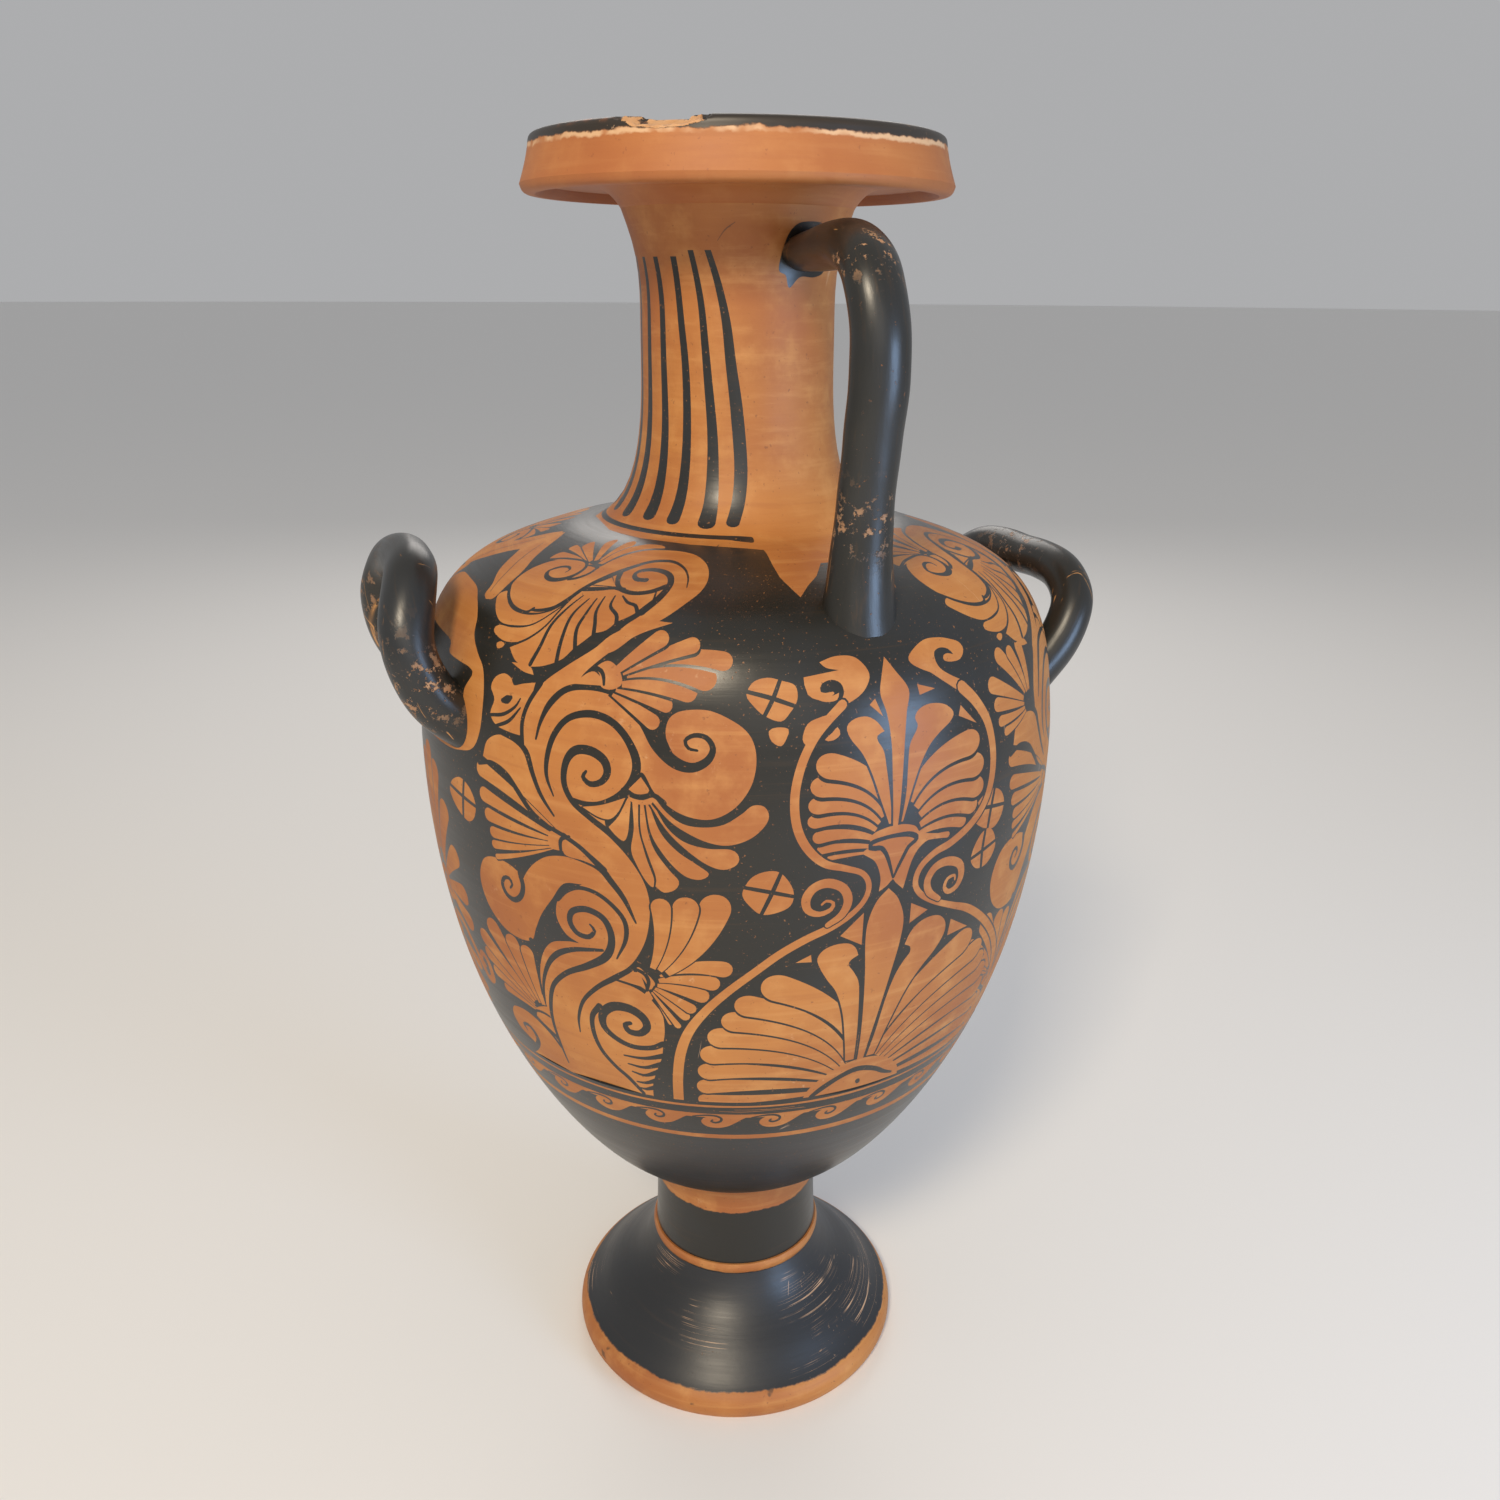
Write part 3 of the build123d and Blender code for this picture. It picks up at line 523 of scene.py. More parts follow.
    layers += dark([(-58.6, 258.6), (-58.8, 266), (-57.9, 272.6), (-55.9, 280)], [1.8, 1.7, 1.7, 1.8])
    layers += fruit([(-78.6, 231.4), (-77.2, 235.6), (-74.4, 238.2), (-71.6, 236.2), (-70.1, 231), (-70.8, 225.4),
                     (-72.8, 222.6), (-75.6, 224.4), (-77.8, 227.8)], [(-79, 233.2), (-74, 231.4), (-69.8, 230)],
                    [(-73.2, 238.2), (-73.9, 230.6), (-74.4, 222.8)])
    return layers


# The patch of scrolls on the shoulder above
def shoulderGroup():
    layers = fan((-60.8, 330.6), [((-76.9, 331.6), 6.6, -.1), ((-76.6, 339.4), 4, -.08), ((-73.4, 344), 6, -.04),
                                  ((-67.2, 350), 7.4, -.02), ((-58.8, 351.8), 10, .06)], .7, .2)
    layers += outlined([(-60.4, 333, 1), (-59.7, 340), (-58, 345.6), (-55.6, 348.8), (-53, 351), (-48.6, 351.2),
                        (-46.4, 349), (-50, 347.8), (-54, 345), (-57.2, 340), (-59, 333, 1)], .7)
    layers += clay([(-45, 297, 1), (-47, 292.6, 1), (-44, 294), (-40, 302.4), (-36.6, 308), (-33.6, 314.8),
                    (-31.2, 321.6), (-30.3, 328.6), (-30.8, 335.6), (-32.6, 341), (-36, 345.4), (-41, 347.4),
                    (-46, 347.2), (-51, 345.8), (-55, 341.8), (-57.6, 336), (-58.8, 331), (-61.6, 331.8),
                    (-66, 332.8), (-70.6, 331.8), (-74.2, 328.6), (-76.1, 323), (-76.3, 317), (-75.2, 311.4),
                    (-72.6, 306.8), (-69, 303.6), (-65, 302.7), (-61.4, 304), (-58.6, 307.6), (-56.8, 314),
                    (-54.6, 318), (-50, 319.2), (-46, 318), (-42, 319), (-40.6, 320), (-40.2, 315), (-41, 309),
                    (-43.6, 303)])
    layers += outlined([(-76, 306.4), (-74.2, 308.6), (-71.6, 304.6), (-68, 302), (-63.6, 302), (-60, 304.6),
                        (-57.8, 308.4, 1), (-59.2, 303), (-61.8, 299), (-65, 297.2), (-69, 296.6), (-72, 298.8),
                        (-75, 303.4)], .7)
    layers += outlined([(-70.3, 293.6), (-69.6, 295.6), (-66, 296), (-62.6, 297.6), (-60.2, 301), (-57.6, 308, 1),
                        (-57.9, 302), (-59.8, 296), (-62.4, 292.2), (-66, 290.8), (-69, 292)], .7)
    layers += outlined([(-56.6, 316.6, 1), (-54.4, 318.4), (-50, 319.2), (-46, 318), (-42, 319), (-40.6, 320.2, 1),
                        (-40.4, 315), (-41.5, 311.4), (-43.2, 307.6), (-45.3, 304.6, 1), (-46.6, 301),
                        (-48.6, 299.4, 1), (-50, 296), (-51.4, 293, 1), (-52.6, 289.6), (-54, 287.6, 1),
                        (-56.4, 285.6), (-58.8, 284.6, 1), (-62, 285.2), (-64.5, 289.2, 1), (-61, 293.4),
                        (-58.6, 299), (-57.6, 306), (-57, 312)], .9)
    layers += clay([(-63, 284.6, 1), (-60, 285.2), (-58.4, 284.2), (-57.7, 282.2, 1), (-60, 282.6)])
    for p in ([(-55.2, 314), (-56.6, 307), (-57.7, 300), (-58, 292), (-58.9, 285.4)],
              [(-53.4, 313), (-54.6, 305), (-54.3, 296), (-53.8, 287)],
              [(-51.8, 313.6), (-52, 306), (-52.2, 300), (-51, 292.6)],
              [(-50.4, 315), (-50.2, 308), (-49.2, 303), (-48.6, 299)],
              [(-48.4, 316), (-48, 311), (-45.9, 307.4), (-45.2, 304)],
              [(-46.8, 316.4), (-45, 313.5), (-43.2, 312.4), (-42.2, 309.6)]):
        layers += dark(p, [.7, 1.3, 1.5, 1.7])
    layers += dark([(-34.4, 323.6), (-34.9, 329.4), (-36.6, 335), (-39.6, 338.8), (-43, 339.7), (-47, 338), (-50, 334),
                    (-52.6, 329), (-55, 323), (-56.6, 317.6), (-57.7, 311.8), (-59.4, 307), (-62, 304.6), (-64.2, 304)],
                   [.5, .9, 1.2, 1.6, 1.8, 2, 2.6, 3.4, 3, 2.4, 2.4, 1.8, 1.5, 1])
    layers += dark([(-75.6, 311.4), (-72.6, 306.6), (-69, 303.4), (-65.2, 302.6), (-63.9, 304.8)],
                   [1.2, 1.4, 1.4, 1.3, 1.2])
    layers += dark([(-76, 329), (-72, 331.8), (-66, 333), (-63.2, 331.6), (-62, 328), (-62.4, 323.6), (-64, 320.4),
                    (-66.6, 319), (-69.2, 320.2), (-70.5, 323.2), (-69, 326.6), (-67, 327.6), (-65.5, 326.4),
                    (-65.6, 324.4)],
                   [1.3, 1.3, 1.3, 1.5, 1.9, 2.4, 2.6, 2.4, 2, 1.7, 1.6, 1.4, 1.1, .7])
    layers += dark([(-62, 331), (-60.4, 331), (-58.8, 330.2)], [1.2, 1.3, 1.4])
    layers += dark([(-41.4, 309.6), (-39.2, 317), (-38.3, 325), (-39.5, 330.4), (-42, 332.8), (-45, 333.2),
                    (-47.6, 331.4), (-47.8, 328.6), (-46.4, 326.4), (-44.2, 326.4)],
                   [3.4, 3.4, 3.2, 3, 2.6, 2.4, 2.3, 2.2, 2.4, 2.6])
    layers += dark([(-39, 323.6), (-41.6, 320), (-45, 318.4), (-48.4, 320), (-50.4, 323.8), (-51.8, 329.4)],
                   [2.6, 2.4, 2.2, 2.2, 2.2, 3])
    layers += dark([(-56.2, 317.4), (-53, 318.4), (-50, 320), (-47.6, 320)], [2.6, 1.9, 1.8, 1.8])
    layers += outlined([(-55.2, 320.4, 1), (-52.6, 325.8, 1), (-49.8, 320.9, 1)], .6)
    layers += dark([(-59, 330.4), (-59.2, 326.4), (-60.6, 322.8), (-62.4, 321)], [1.6, 1.7, 1.7, 1.6])
    layers += clay([(-68, 289.4), (-67, 290.4), (-66, 289.8), (-66.4, 288.4), (-67.4, 287.8)])
    return layers


# Everything painted on the wall, in the order it was laid on
painting = {
    "clayLines": [(95.5, 98.5), (110.5, 112.8)],           # lower and upper edge of the lines round the belly
    "waves": 30, "firstWave": -40.3,
    "leftHandle": -93, "rightHandle": 87, "rightExtra": 7.5,
    "rightGroup": 95,                                      # how far round the second pair of scrolls stands
    "strokeStep": 15.3,
}


def hoop(low, high, tone, wobble=0.12):
    # A band round the jar; its edges are sums of slow sines, so they waver like a brushed line.
    t = np.arange(-180, 180.1, 3.0)
    lowEdge = low + wobble * np.sin(np.radians(t * 3 + low * 40)) + wobble * 0.6 * np.sin(np.radians(t * 11 + low * 9))
    highEdge = high + wobble * np.sin(np.radians(t * 4 + high * 70)) + wobble * 0.6 * np.sin(np.radians(t * 13 + high))
    return [(np.vstack([np.column_stack([t, lowEdge]), np.column_stack([t, highEdge])[::-1]]) * [mmPerDegree, 1], tone)]


def wave(eye):
    body = [(8.5, 112.7, 1), (7, 111), (6, 109.8), (4.6, 107.3), (2.8, 104.6), (0.6, 103.3), (-1.4, 104.1),
            (-2.5, 106.4), (-2.4, 108.8), (-1.2, 110.9), (0.6, 112.6, 1)]
    curl = [(-4.2, 110.6), (-2.6, 111.4), (-1, 111.8), (0.6, 111.5), (1.6, 110), (1.4, 108), (0.3, 107), (-0.5, 107.8),
            (-0.2, 108.8)]
    return (clay([(p[0] + eye, *p[1:]) for p in body])
            + dark([(t + eye, s) for t, s in curl], [0.7, 1.0, 1.2, 1.3, 1.3, 1.2, 0.9]))


def wallLines():
    layers = hoop(-5, 95.5, 1, 0)
    for low, high in painting["clayLines"]:
        layers += hoop(low, high, 0)
    for i in range(painting["waves"]):
        layers += wave(painting["firstWave"] + 360 / painting["waves"] * (i - 11))
    layers += hoop(112.8, 117.2, 1) + hoop(117.2, 118.4, 0, 0.2)
    layers += dark([(-27, 114.7), (-22, 114.4), (-16, 114.8), (-10, 114.5)], [0.2, 0.35, 0.2, 0.3], 0.2)
    layers += dark([(-24, 115.8), (-17, 115.5), (-12, 115.8)], [0.2, 0.3, 0.2], 0.2)
    return layers


def neckStroke(points, widths):
    # A long upright stroke: its edges stand half a width either side of a smooth line, with a low round foot.
    p = sheet(points)
    w = np.interp(np.linspace(0, 1, len(p)), np.linspace(0, 1, len(widths)), widths) * mmPerDegree
    line = smoothLine(p, w)[::2]
    half = line[:, 2:] / 2
    turn = np.linspace(0, pi, 8)[1:-1, None]
    foot = line[-1, :2] + half[-1] * np.hstack([np.cos(turn), -0.3 * np.sin(turn)])
    side = half * [1, 0]
    return [(np.vstack([line[:, :2] + side, foot, (line[:, :2] - side)[::-1]]), 1)]


def neckPaint():
    edge = [(180, 359.5), (110, 359), (80, 357.5), (60, 356), (40, 354.5), (30, 353.5), (20, 351.5), (15.5, 350),
            (15, 347), (14.5, 338), (13.8, 330), (12, 322), (11, 318), (8.5, 324), (5, 330), (1.5, 338)]
    rim = [(t, s, 1) for t, s in edge]
    layers = [(area([(-180, 480, 1)] + [(-t, s, 1) for t, s in edge] + rim[::-1] + [(180, 480, 1)]), 0)]
    arc = [(-18.3, 360), (-24, 361), (-30, 361.5), (-60, 362), (-100, 362.5), (-140, 362.8), (-180, 363)]
    strokes = [([(-87.5, 459), (-85.6, 445), (-85.4, 420), (-84.7, 405), (-83.8, 390), (-83.5, 368.6)],
                [3.5, 4.4, 5.5, 6.4, 7.5]),
               ([(-74.5, 459), (-71.5, 443), (-70.4, 420), (-68.4, 398), (-67, 378), (-67, 368)],
                [4, 4.6, 5.4, 6.6, 7.6]),
               ([(-60.5, 459), (-57.3, 440), (-54.3, 423), (-52.8, 400), (-52.3, 380), (-53, 368.6)],
                [4, 4.4, 5, 5.8, 6.5]),
               ([(-49.2, 461), (-44.3, 444), (-42, 430), (-40.3, 418), (-37.3, 398), (-36.3, 378), (-37, 368.2)],
                [3.3, 4.2, 5, 6.4, 8]),
               ([(-39.5, 461), (-34.3, 450), (-30, 438), (-27.3, 424), (-24, 408), (-21.8, 390), (-22.8, 378),
                 (-25.5, 368.6)],
                [3.5, 4.4, 5.8, 7.3, 6.8, 6])]
    first = strokes[0]
    strokes += [([(t - painting["strokeStep"] * k, s + 0.6 * sin(k)) for t, s in first[0]], first[1])
                for k in range(1, 6)]
    farArc = [(62, 360.4), (68, 361.6), (80, 362.2), (110, 362.6), (145, 362.9), (180, 363)]
    layers += dark(arc, [4.2, 3.2, 2.4, 2.3, 2.2, 2.2, 2.2]) + dark(farArc, [4, 2.8, 2.3, 2.2, 2.2, 2.2])
    for i, (points, widths) in enumerate(strokes):
        one = neckStroke(points, widths)
        layers += one if i in (2, 3, 4) else one + mirrored(one, 0)    # plain clay stands to the right of the handle
    layers += dark([(-30.3, 353), (-30, 355.4)], [1.2, 0.6])
    layers += dark([(-34, 464), (-30, 467.5), (-25, 470)], [0.3, 0.6, 0.3], 0.6)
    layers += [(area([(-1, 455), (1, 463), (4, 468), (10, 470.5), (24, 470), (34, 464), (33, 455), (24, 452.5),
                      (13, 452.5), (6, 449), (3.4, 453)]), 1)]
    return layers


def handleGround(centre, extra):
    # The bare clay round the two roots of a side handle, the black between them, and the leaf above.
    outer = [(6, 305.5), (12, 301), (16, 295.5), (18, 289.3), (21, 284), (23.4, 280), (24.6, 273.5), (24.8, 266),
             (24.3, 258), (22.6, 251.5), (19, 248.6), (12, 247)]
    inner = [(9, 284.5), (11.5, 280), (16, 279), (19.6, 278.4), (20.8, 276.4), (19, 270), (19.2, 262), (17.6, 257.6),
             (14, 251), (8, 250)]
    leaf = [(14.5, 302.6, 1), (16.7, 305), (15.6, 318), (11, 328), (5, 340), (1, 345, 1), (-3, 340), (-2, 331),
            (3, 323), (7.5, 315), (11.5, 309), (12.6, 304.4)]

    def both(points):
        right = [(centre + t + extra, s) for t, s in points]
        return right + [(centre - t - extra, s) for t, s in points][::-1]

    layers = clay(both(outer)) + [(area(both(inner)), 1)]
    blade = clay([(p[0] + centre + extra, *p[1:]) for p in leaf])
    vein = dark([(centre + extra + t, s) for t, s in [(13.6, 306), (11, 316), (7, 326), (2, 338)]], [0.5, 0.9, 0.5],
                0.6)
    return layers + blade + vein + mirrored(blade + vein, centre)


def handlePalmette(centre):
    # A comb of leaves that opens upward under a side handle, worked out from one turning angle, over a hanging one.
    tips = []
    for k in [-5, 5, -4, 4, -3, 3, -2, 2, -1, 1, 0]:
        turn = radians(21.5 * k)
        tips.append(((centre + 12.2 * sin(turn), 184 + (24 + 34 * cos(turn / 2) ** 2) * cos(turn)), 10.4,
                     0.05 * np.sign(k)))
    layers = fan((centre, 184), tips, 0.9, 0.24)
    layers += clay([(centre - 4.4, 180), (centre - 2.6, 188), (centre, 191), (centre + 2.6, 188), (centre + 4.4, 180),
                    (centre, 176)])
    layers += dark([(centre - 2.4, 181), (centre, 186.4), (centre + 2.4, 181)], [1.2, 2, 1.2])
    hanging = []
    for k in [-3, 3, -2, 2, -1, 1, 0]:
        turn = radians(24 * k)
        hanging.append(((centre + 9.6 * sin(turn), 164 - 38 * cos(turn)), 8.6, 0.06 * np.sign(-k)))
    layers += fan((centre, 164), hanging, 0.9, 0.26)
    layers += clay([(centre - 3, 166), (centre, 170), (centre + 3, 166), (centre, 158)])
    for side in (-1, 1):
        line = [(2, 172), (6, 170), (9.5, 161), (11.8, 151), (14, 152.6), (14.2, 160), (12.4, 163), (11.2, 159),
                (12, 156.6)]
        layers += band([(centre + side * t, s) for t, s in line], [3.4, 3.6, 3.6, 3.8, 3.6, 3.2, 2.8, 2.4, 2.2])
    return layers


def wholePainting():
    group = scrollGroup() + shoulderGroup()
    second = moved(scrollGroup(True) + shoulderGroup(), painting["rightGroup"])
    stack = upperPalmette() + lowerPalmette() + lyre() + fruits()
    layers = group + mirrored(group, -90) + second + mirrored(second, 90) + moved(stack, 180) + stack
    layers += handlePalmette(-90) + handlePalmette(90)
    layers += handleGround(painting["leftHandle"], 0) + handleGround(painting["rightHandle"], painting["rightExtra"])
    return layers + wallLines() + hoop(118.4, 120.3, 1) + neckPaint()


# The wall: belly, shoulder and neck in one skin
jar = {
    "bellyShares": [(0, 0), (0.235, 0.064), (0.472, 0.182), (0.672, 0.331), (0.853, 0.530), (0.955, 0.729), (1, 1)],
    "shoulderShares": [(0.9995, 0.04), (0.98, 0.253), (0.93, 0.502), (0.828, 0.687), (0.676, 0.81), (0.335, 0.934),
                       (0.09, 0.988), (0, 1)],
    "neckWaist": 35.9, "neckTop": 42.0, "waistHeight": 68.0,
    "wall": 7.0, "neckWall": 6.0, "bossDepth": 3.5, "floor": 10.0, "scarf": 4.0, "bore": 22.0,
    "columns": 120, "rowStep": 5.6,
}
stemTop, widest, neckBase, mouthJoint = top("stem"), top("belly"), top("shoulder"), top("neck")
stemRadius = 36.6
bellySpread, shoulderSpread = reach("belly") - stemRadius, reach("belly") - reach("neck")
waistSpread = reach("neck") - jar["neckWaist"]
wallPoints = ([(stemRadius + a * bellySpread, stemTop + b * (widest - stemTop)) for a, b in jar["bellyShares"]]
              + [(reach("neck") + a * shoulderSpread, widest + b * (neckBase - widest)) for a,
                 b in jar["shoulderShares"]]
              + [(jar["neckWaist"] + a * waistSpread, neckBase + b) for a,
                 b in [(0.5, 7.5), (0.24, 17.5), (0.088, 30)]]
              + [(jar["neckWaist"], neckBase + jar["waistHeight"]), (jar["neckWaist"] + 1.6, mouthJoint - 14),
                 (jar["neckTop"], mouthJoint)])
wallCurve = spline(wallPoints, 1600, start=(1, 0.45))
wallWay = lengths(wallCurve)
wallSlope = np.gradient(wallCurve, axis=0)
wallSlope /= np.linalg.norm(wallSlope, axis=1)[:, None]
wallOut = np.column_stack([wallSlope[:, 1], -wallSlope[:, 0]])
wayTop = wallWay[-1]
print(f"wall: {wayTop:.1f} mm from stem to mouth")


def cut(shape, axis, limit, sign):
    # The part of an outline on one side of a line: kept corners, and a new corner wherever an edge crosses.
    value = sign * (shape[:, axis] - limit)
    following = np.roll(value, -1)
    share = value / np.where(value == following, 1, value - following)
    crossing = shape + share[:, None] * (np.roll(shape, -1, axis=0) - shape)
    crossing[:, axis] = limit
    keep = np.column_stack([value >= 0, (value >= 0) != (following >= 0)]).ravel()
    return np.stack([shape, crossing], 1).reshape(-1, 2)[keep]


def inside(shape, x, y):
    # Whether points are in an outline: edges that pass on their left going up count one, going down minus one.
    a, b = shape, np.roll(shape, -1, axis=0)
    up = (a[None, :, 1] <= y[:, None]) & (b[None, :, 1] > y[:, None])
    down = (a[None, :, 1] > y[:, None]) & (b[None, :, 1] <= y[:, None])
    run, rise = b - a, y[:, None] - a[None, :, 1]
    side = run[None, :, 0] * rise - (x[:, None] - a[None, :, 0]) * run[None, :, 1]
    return ((up & (side > 0)).sum(1) - (down & (side < 0)).sum(1)) != 0


def sheetShapes(half):
    # Every painted outline, repeated a turn to either side and trimmed to the sheet.
    shapes = []
    for shape, tone in wholePainting():
        for shift in (-2 * half, 0, 2 * half):
            piece = shape + [shift, 0]
            if piece[:, 0].max() <= -half or piece[:, 0].min() >= half:
                continue
            for axis, limit, sign in ((0, -half, 1), (0, half, -1), (1, 0, 1), (1, wayTop, -1)):
                piece = cut(piece, axis, limit, sign)
                if len(piece) < 3:
                    break
            else:
                shapes.append((piece, tone))
    return shapes


def wallSection():
    # The whole half section, from the axis under the belly, up the outside and down the inside to the axis again.
    # The inside stands one wall thickness behind the outside. Distances count from the stem, along the section.
    thickness = np.interp(wallCurve[:, 1], [neckBase - 6, neckBase + 8], [jar["wall"], jar["neckWall"]])[:, None]
    floorHeight = stemTop - jar["bossDepth"] + jar["floor"]
    inner = (wallCurve - wallOut * thickness)[::-8]
    inner = inner[(inner[:, 1] < mouthJoint - jar["scarf"] - 0.5) & (inner[:, 0] > stemRadius - 2)]
    inner = inner[inner[:, 1] > floorHeight + 0.4]
    under = np.array([(0, stemTop - jar["bossDepth"]), (jar["bore"], stemTop - jar["bossDepth"])])
    back = np.vstack([[(jar["neckTop"] - jar["neckWall"] - 1.2, mouthJoint - jar["scarf"])], inner,
                      [(stemRadius - 4, floorHeight + 0.6), (0, floorHeight)]])
    section = np.vstack([under, wallCurve, back])
    way = lengths(section)
    way -= way[len(under)]
    out = np.vstack([[(0, -1), (0.3, -1)], wallOut, np.gradient(back, axis=0)[:, ::-1] * [1, -1]])
    out /= np.maximum(np.linalg.norm(out, axis=1), 1e-9)[:, None]
    return section, way, out


def cutSheet(shapes, way, half):
    # Triangles that keep every painted edge, over a plain grid that gives the wall its roundness.
    rows = np.concatenate([[way[0], way[1]], np.linspace(0, wayTop, int(wayTop / jar["rowStep"])),
                           np.arange(wayTop + 6, way[-1] - 3, 9), [way[-1]]])
    wide = jar["columns"] + 1
    x, y = np.meshgrid(np.linspace(-half, half, wide), rows)
    points = [np.column_stack([x.ravel(), y.ravel()])]
    edges = []
    for limit in (0, wayTop):
        row = int(np.argmin(abs(rows - limit)))
        edges.append(np.column_stack([np.arange(wide - 1), np.arange(1, wide)]) + row * wide)
    count = x.size
    for shape, tone in shapes:
        n = np.arange(len(shape))
        edges.append(np.column_stack([n, np.roll(n, -1)]) + count)
        points.append(shape)
        count += len(shape)
    corners = [Vector(p) for p in np.vstack(points).tolist()]
    result = delaunay_2d_cdt(corners, np.vstack(edges).tolist(), [], 0, 1e-4, False)
    return np.array(result[0]), np.array(result[2])


def triangleTones(shapes, flat, triangles):
    # Each triangle takes the tone of the last outline that its middle lies in: 0 is clay, 1 is gloss.
    middle = flat[triangles].mean(axis=1)
    order = np.argsort(middle[:, 0])
    middle = middle[order]
    tones = np.where((middle[:, 1] > 0) & (middle[:, 1] < wayTop), 1.0, 0.0)
    for shape, tone in shapes:
        low, high = shape.min(axis=0), shape.max(axis=0)
        first, last = np.searchsorted(middle[:, 0], [low[0], high[0]])
        near = first + np.flatnonzero((middle[first:last, 1] > low[1]) & (middle[first:last, 1] < high[1]))
        if len(near):
            tones[near[inside(shape, middle[near, 0], middle[near, 1])]] = tone
    paint = np.empty(len(tones))
    paint[order] = tones
    return paint


def paintedWall(name, replaced, material):
    # The cut sheet is bent onto the section: x = r sin(turn), y = -r cos(turn), r and z by distance along it.
    half = 180 * mmPerDegree
    shapes = sheetShapes(half)
    section, way, out = wallSection()
    flat, triangles = cutSheet(shapes, way, half)
    paint = triangleTones(shapes, flat, triangles)
    print(f"painting: {len(shapes)} outlines")
    angle = flat[:, 0] / mmPerDegree * pi / 180
    r, z = (np.interp(flat[:, 1], way, section[:, k]) for k in (0, 1))
    outR, outZ = (np.interp(flat[:, 1], way, out[:, k]) for k in (0, 1))
    corners = np.column_stack([r * np.sin(angle), -r * np.cos(angle), z])
    outward = np.column_stack([outR * np.sin(angle), -outR * np.cos(angle), outZ])
    mesh = bpy.data.meshes.new(name)
    mesh.from_pydata((corners * mm).tolist(), [], triangles.tolist())
    mesh.attributes.new("paint", "FLOAT", "FACE").data.foreach_set("value", paint.astype(np.float32))
    addVectors(mesh, "outward", outward)
    addVectors(mesh, "spin", np.column_stack([np.sin(angle), -np.cos(angle), flat[:, 1] * 0.1]))
    v = np.interp(flat[:, 1], [way[0], 0, wayTop, way[-1]], [0.005, 0.03, 0.94, 0.995])
    uv = np.column_stack([0.5 + 0.99 * flat[:, 0] / (2 * half), v])[triangles.ravel()]
    mesh.uv_layers.new(name="OFBake").data.foreach_set("uv", uv.astype(np.float32).ravel())
    weld(mesh)
    kept = np.empty(len(mesh.vertices) * 3, np.float32)
    mesh.attributes["outward"].data.foreach_get("vector", kept)
    mesh.attributes.remove(mesh.attributes["outward"])
    mesh.polygons.foreach_set("use_smooth", np.ones(len(mesh.polygons), bool))
    mesh.normals_split_custom_set_from_vertices(kept.reshape(-1, 3).tolist())
    return hang(name, mesh, replaced, material)


# Finishes
class Wire:
    # A node socket with arithmetic: every operator adds one Math node.
    def __init__(self, tree, socket=None):
        self.tree, self.socket = tree, socket

    def add(self, kind, inputs=None, out=0, **settings):
        node = self.tree.nodes.new("ShaderNode" + kind)
        for key, value in settings.items():
            setattr(node, key, value)
        for key, value in (inputs or {}).items():
            if isinstance(value, Wire):
                self.tree.links.new(value.socket, node.inputs[key])
            else:
                node.inputs[key].default_value = value
        return Wire(self.tree, node.outputs[out])

    def math(self, kind, a, b=0.0):
        return self.add("Math", {0: a, 1: b}, operation=kind)

    def __add__(self, other):
        return self.math("ADD", self, other)

    def __sub__(self, other):
        return self.math("SUBTRACT", self, other)

    def __rsub__(self, other):
        return self.math("SUBTRACT", other, self)

    def __mul__(self, other):
        return self.math("MULTIPLY", self, other)

    def __abs__(self):
        return self.math("ABSOLUTE", self)

    __radd__ = __add__
    __rmul__ = __mul__

    def most(self, other):
        return self.math("MAXIMUM", self, other)

    def step(self, low, high):
        # 0 below low, 1 above high, smooth between
        return self.add("MapRange", {"Value": self, "From Min": low, "From Max": high}, interpolation_type="SMOOTHSTEP")

    def noise(self, place, scale, detail=3.0, rough=0.5, warp=0.0):
        return self.add("TexNoise", {"Vector": place, "Scale": scale, "Detail": detail, "Roughness": rough,
                                     "Distortion": warp})

    def stretch(self, place, scale):
        return self.add("Mapping", {"Vector": place, "Scale": scale})

    def blend(self, share, a, b, kind="MIX"):
        values = {0: share, 6: a if isinstance(a, Wire) else (*a, 1), 7: b if isinstance(b, Wire) else (*b, 1)}
        return self.add("Mix", values, out=2, data_type="RGBA", blend_type=kind)


finish = {
    "clay": (0.500, 0.198, 0.046), "clayPale": (0.610, 0.295, 0.092), "clayDeep": (0.360, 0.116, 0.028),
    "clayRed": (0.400, 0.120, 0.040),
    "clayDust": (0.720, 0.470, 0.270), "speck": (0.200, 0.070, 0.025),
    "gloss": (0.0175, 0.0165, 0.0135), "glossBlue": (0.022, 0.024, 0.026), "glossBrown": (0.050, 0.030, 0.016),
    # The foot's blue tone is a painted reflection: cool lamp light on its black gloss, put into the colour.
    "footPaintedSheen": (0.024, 0.027, 0.034), "raw": (0.640, 0.400, 0.240), "thin": (0.210, 0.085, 0.030),
}


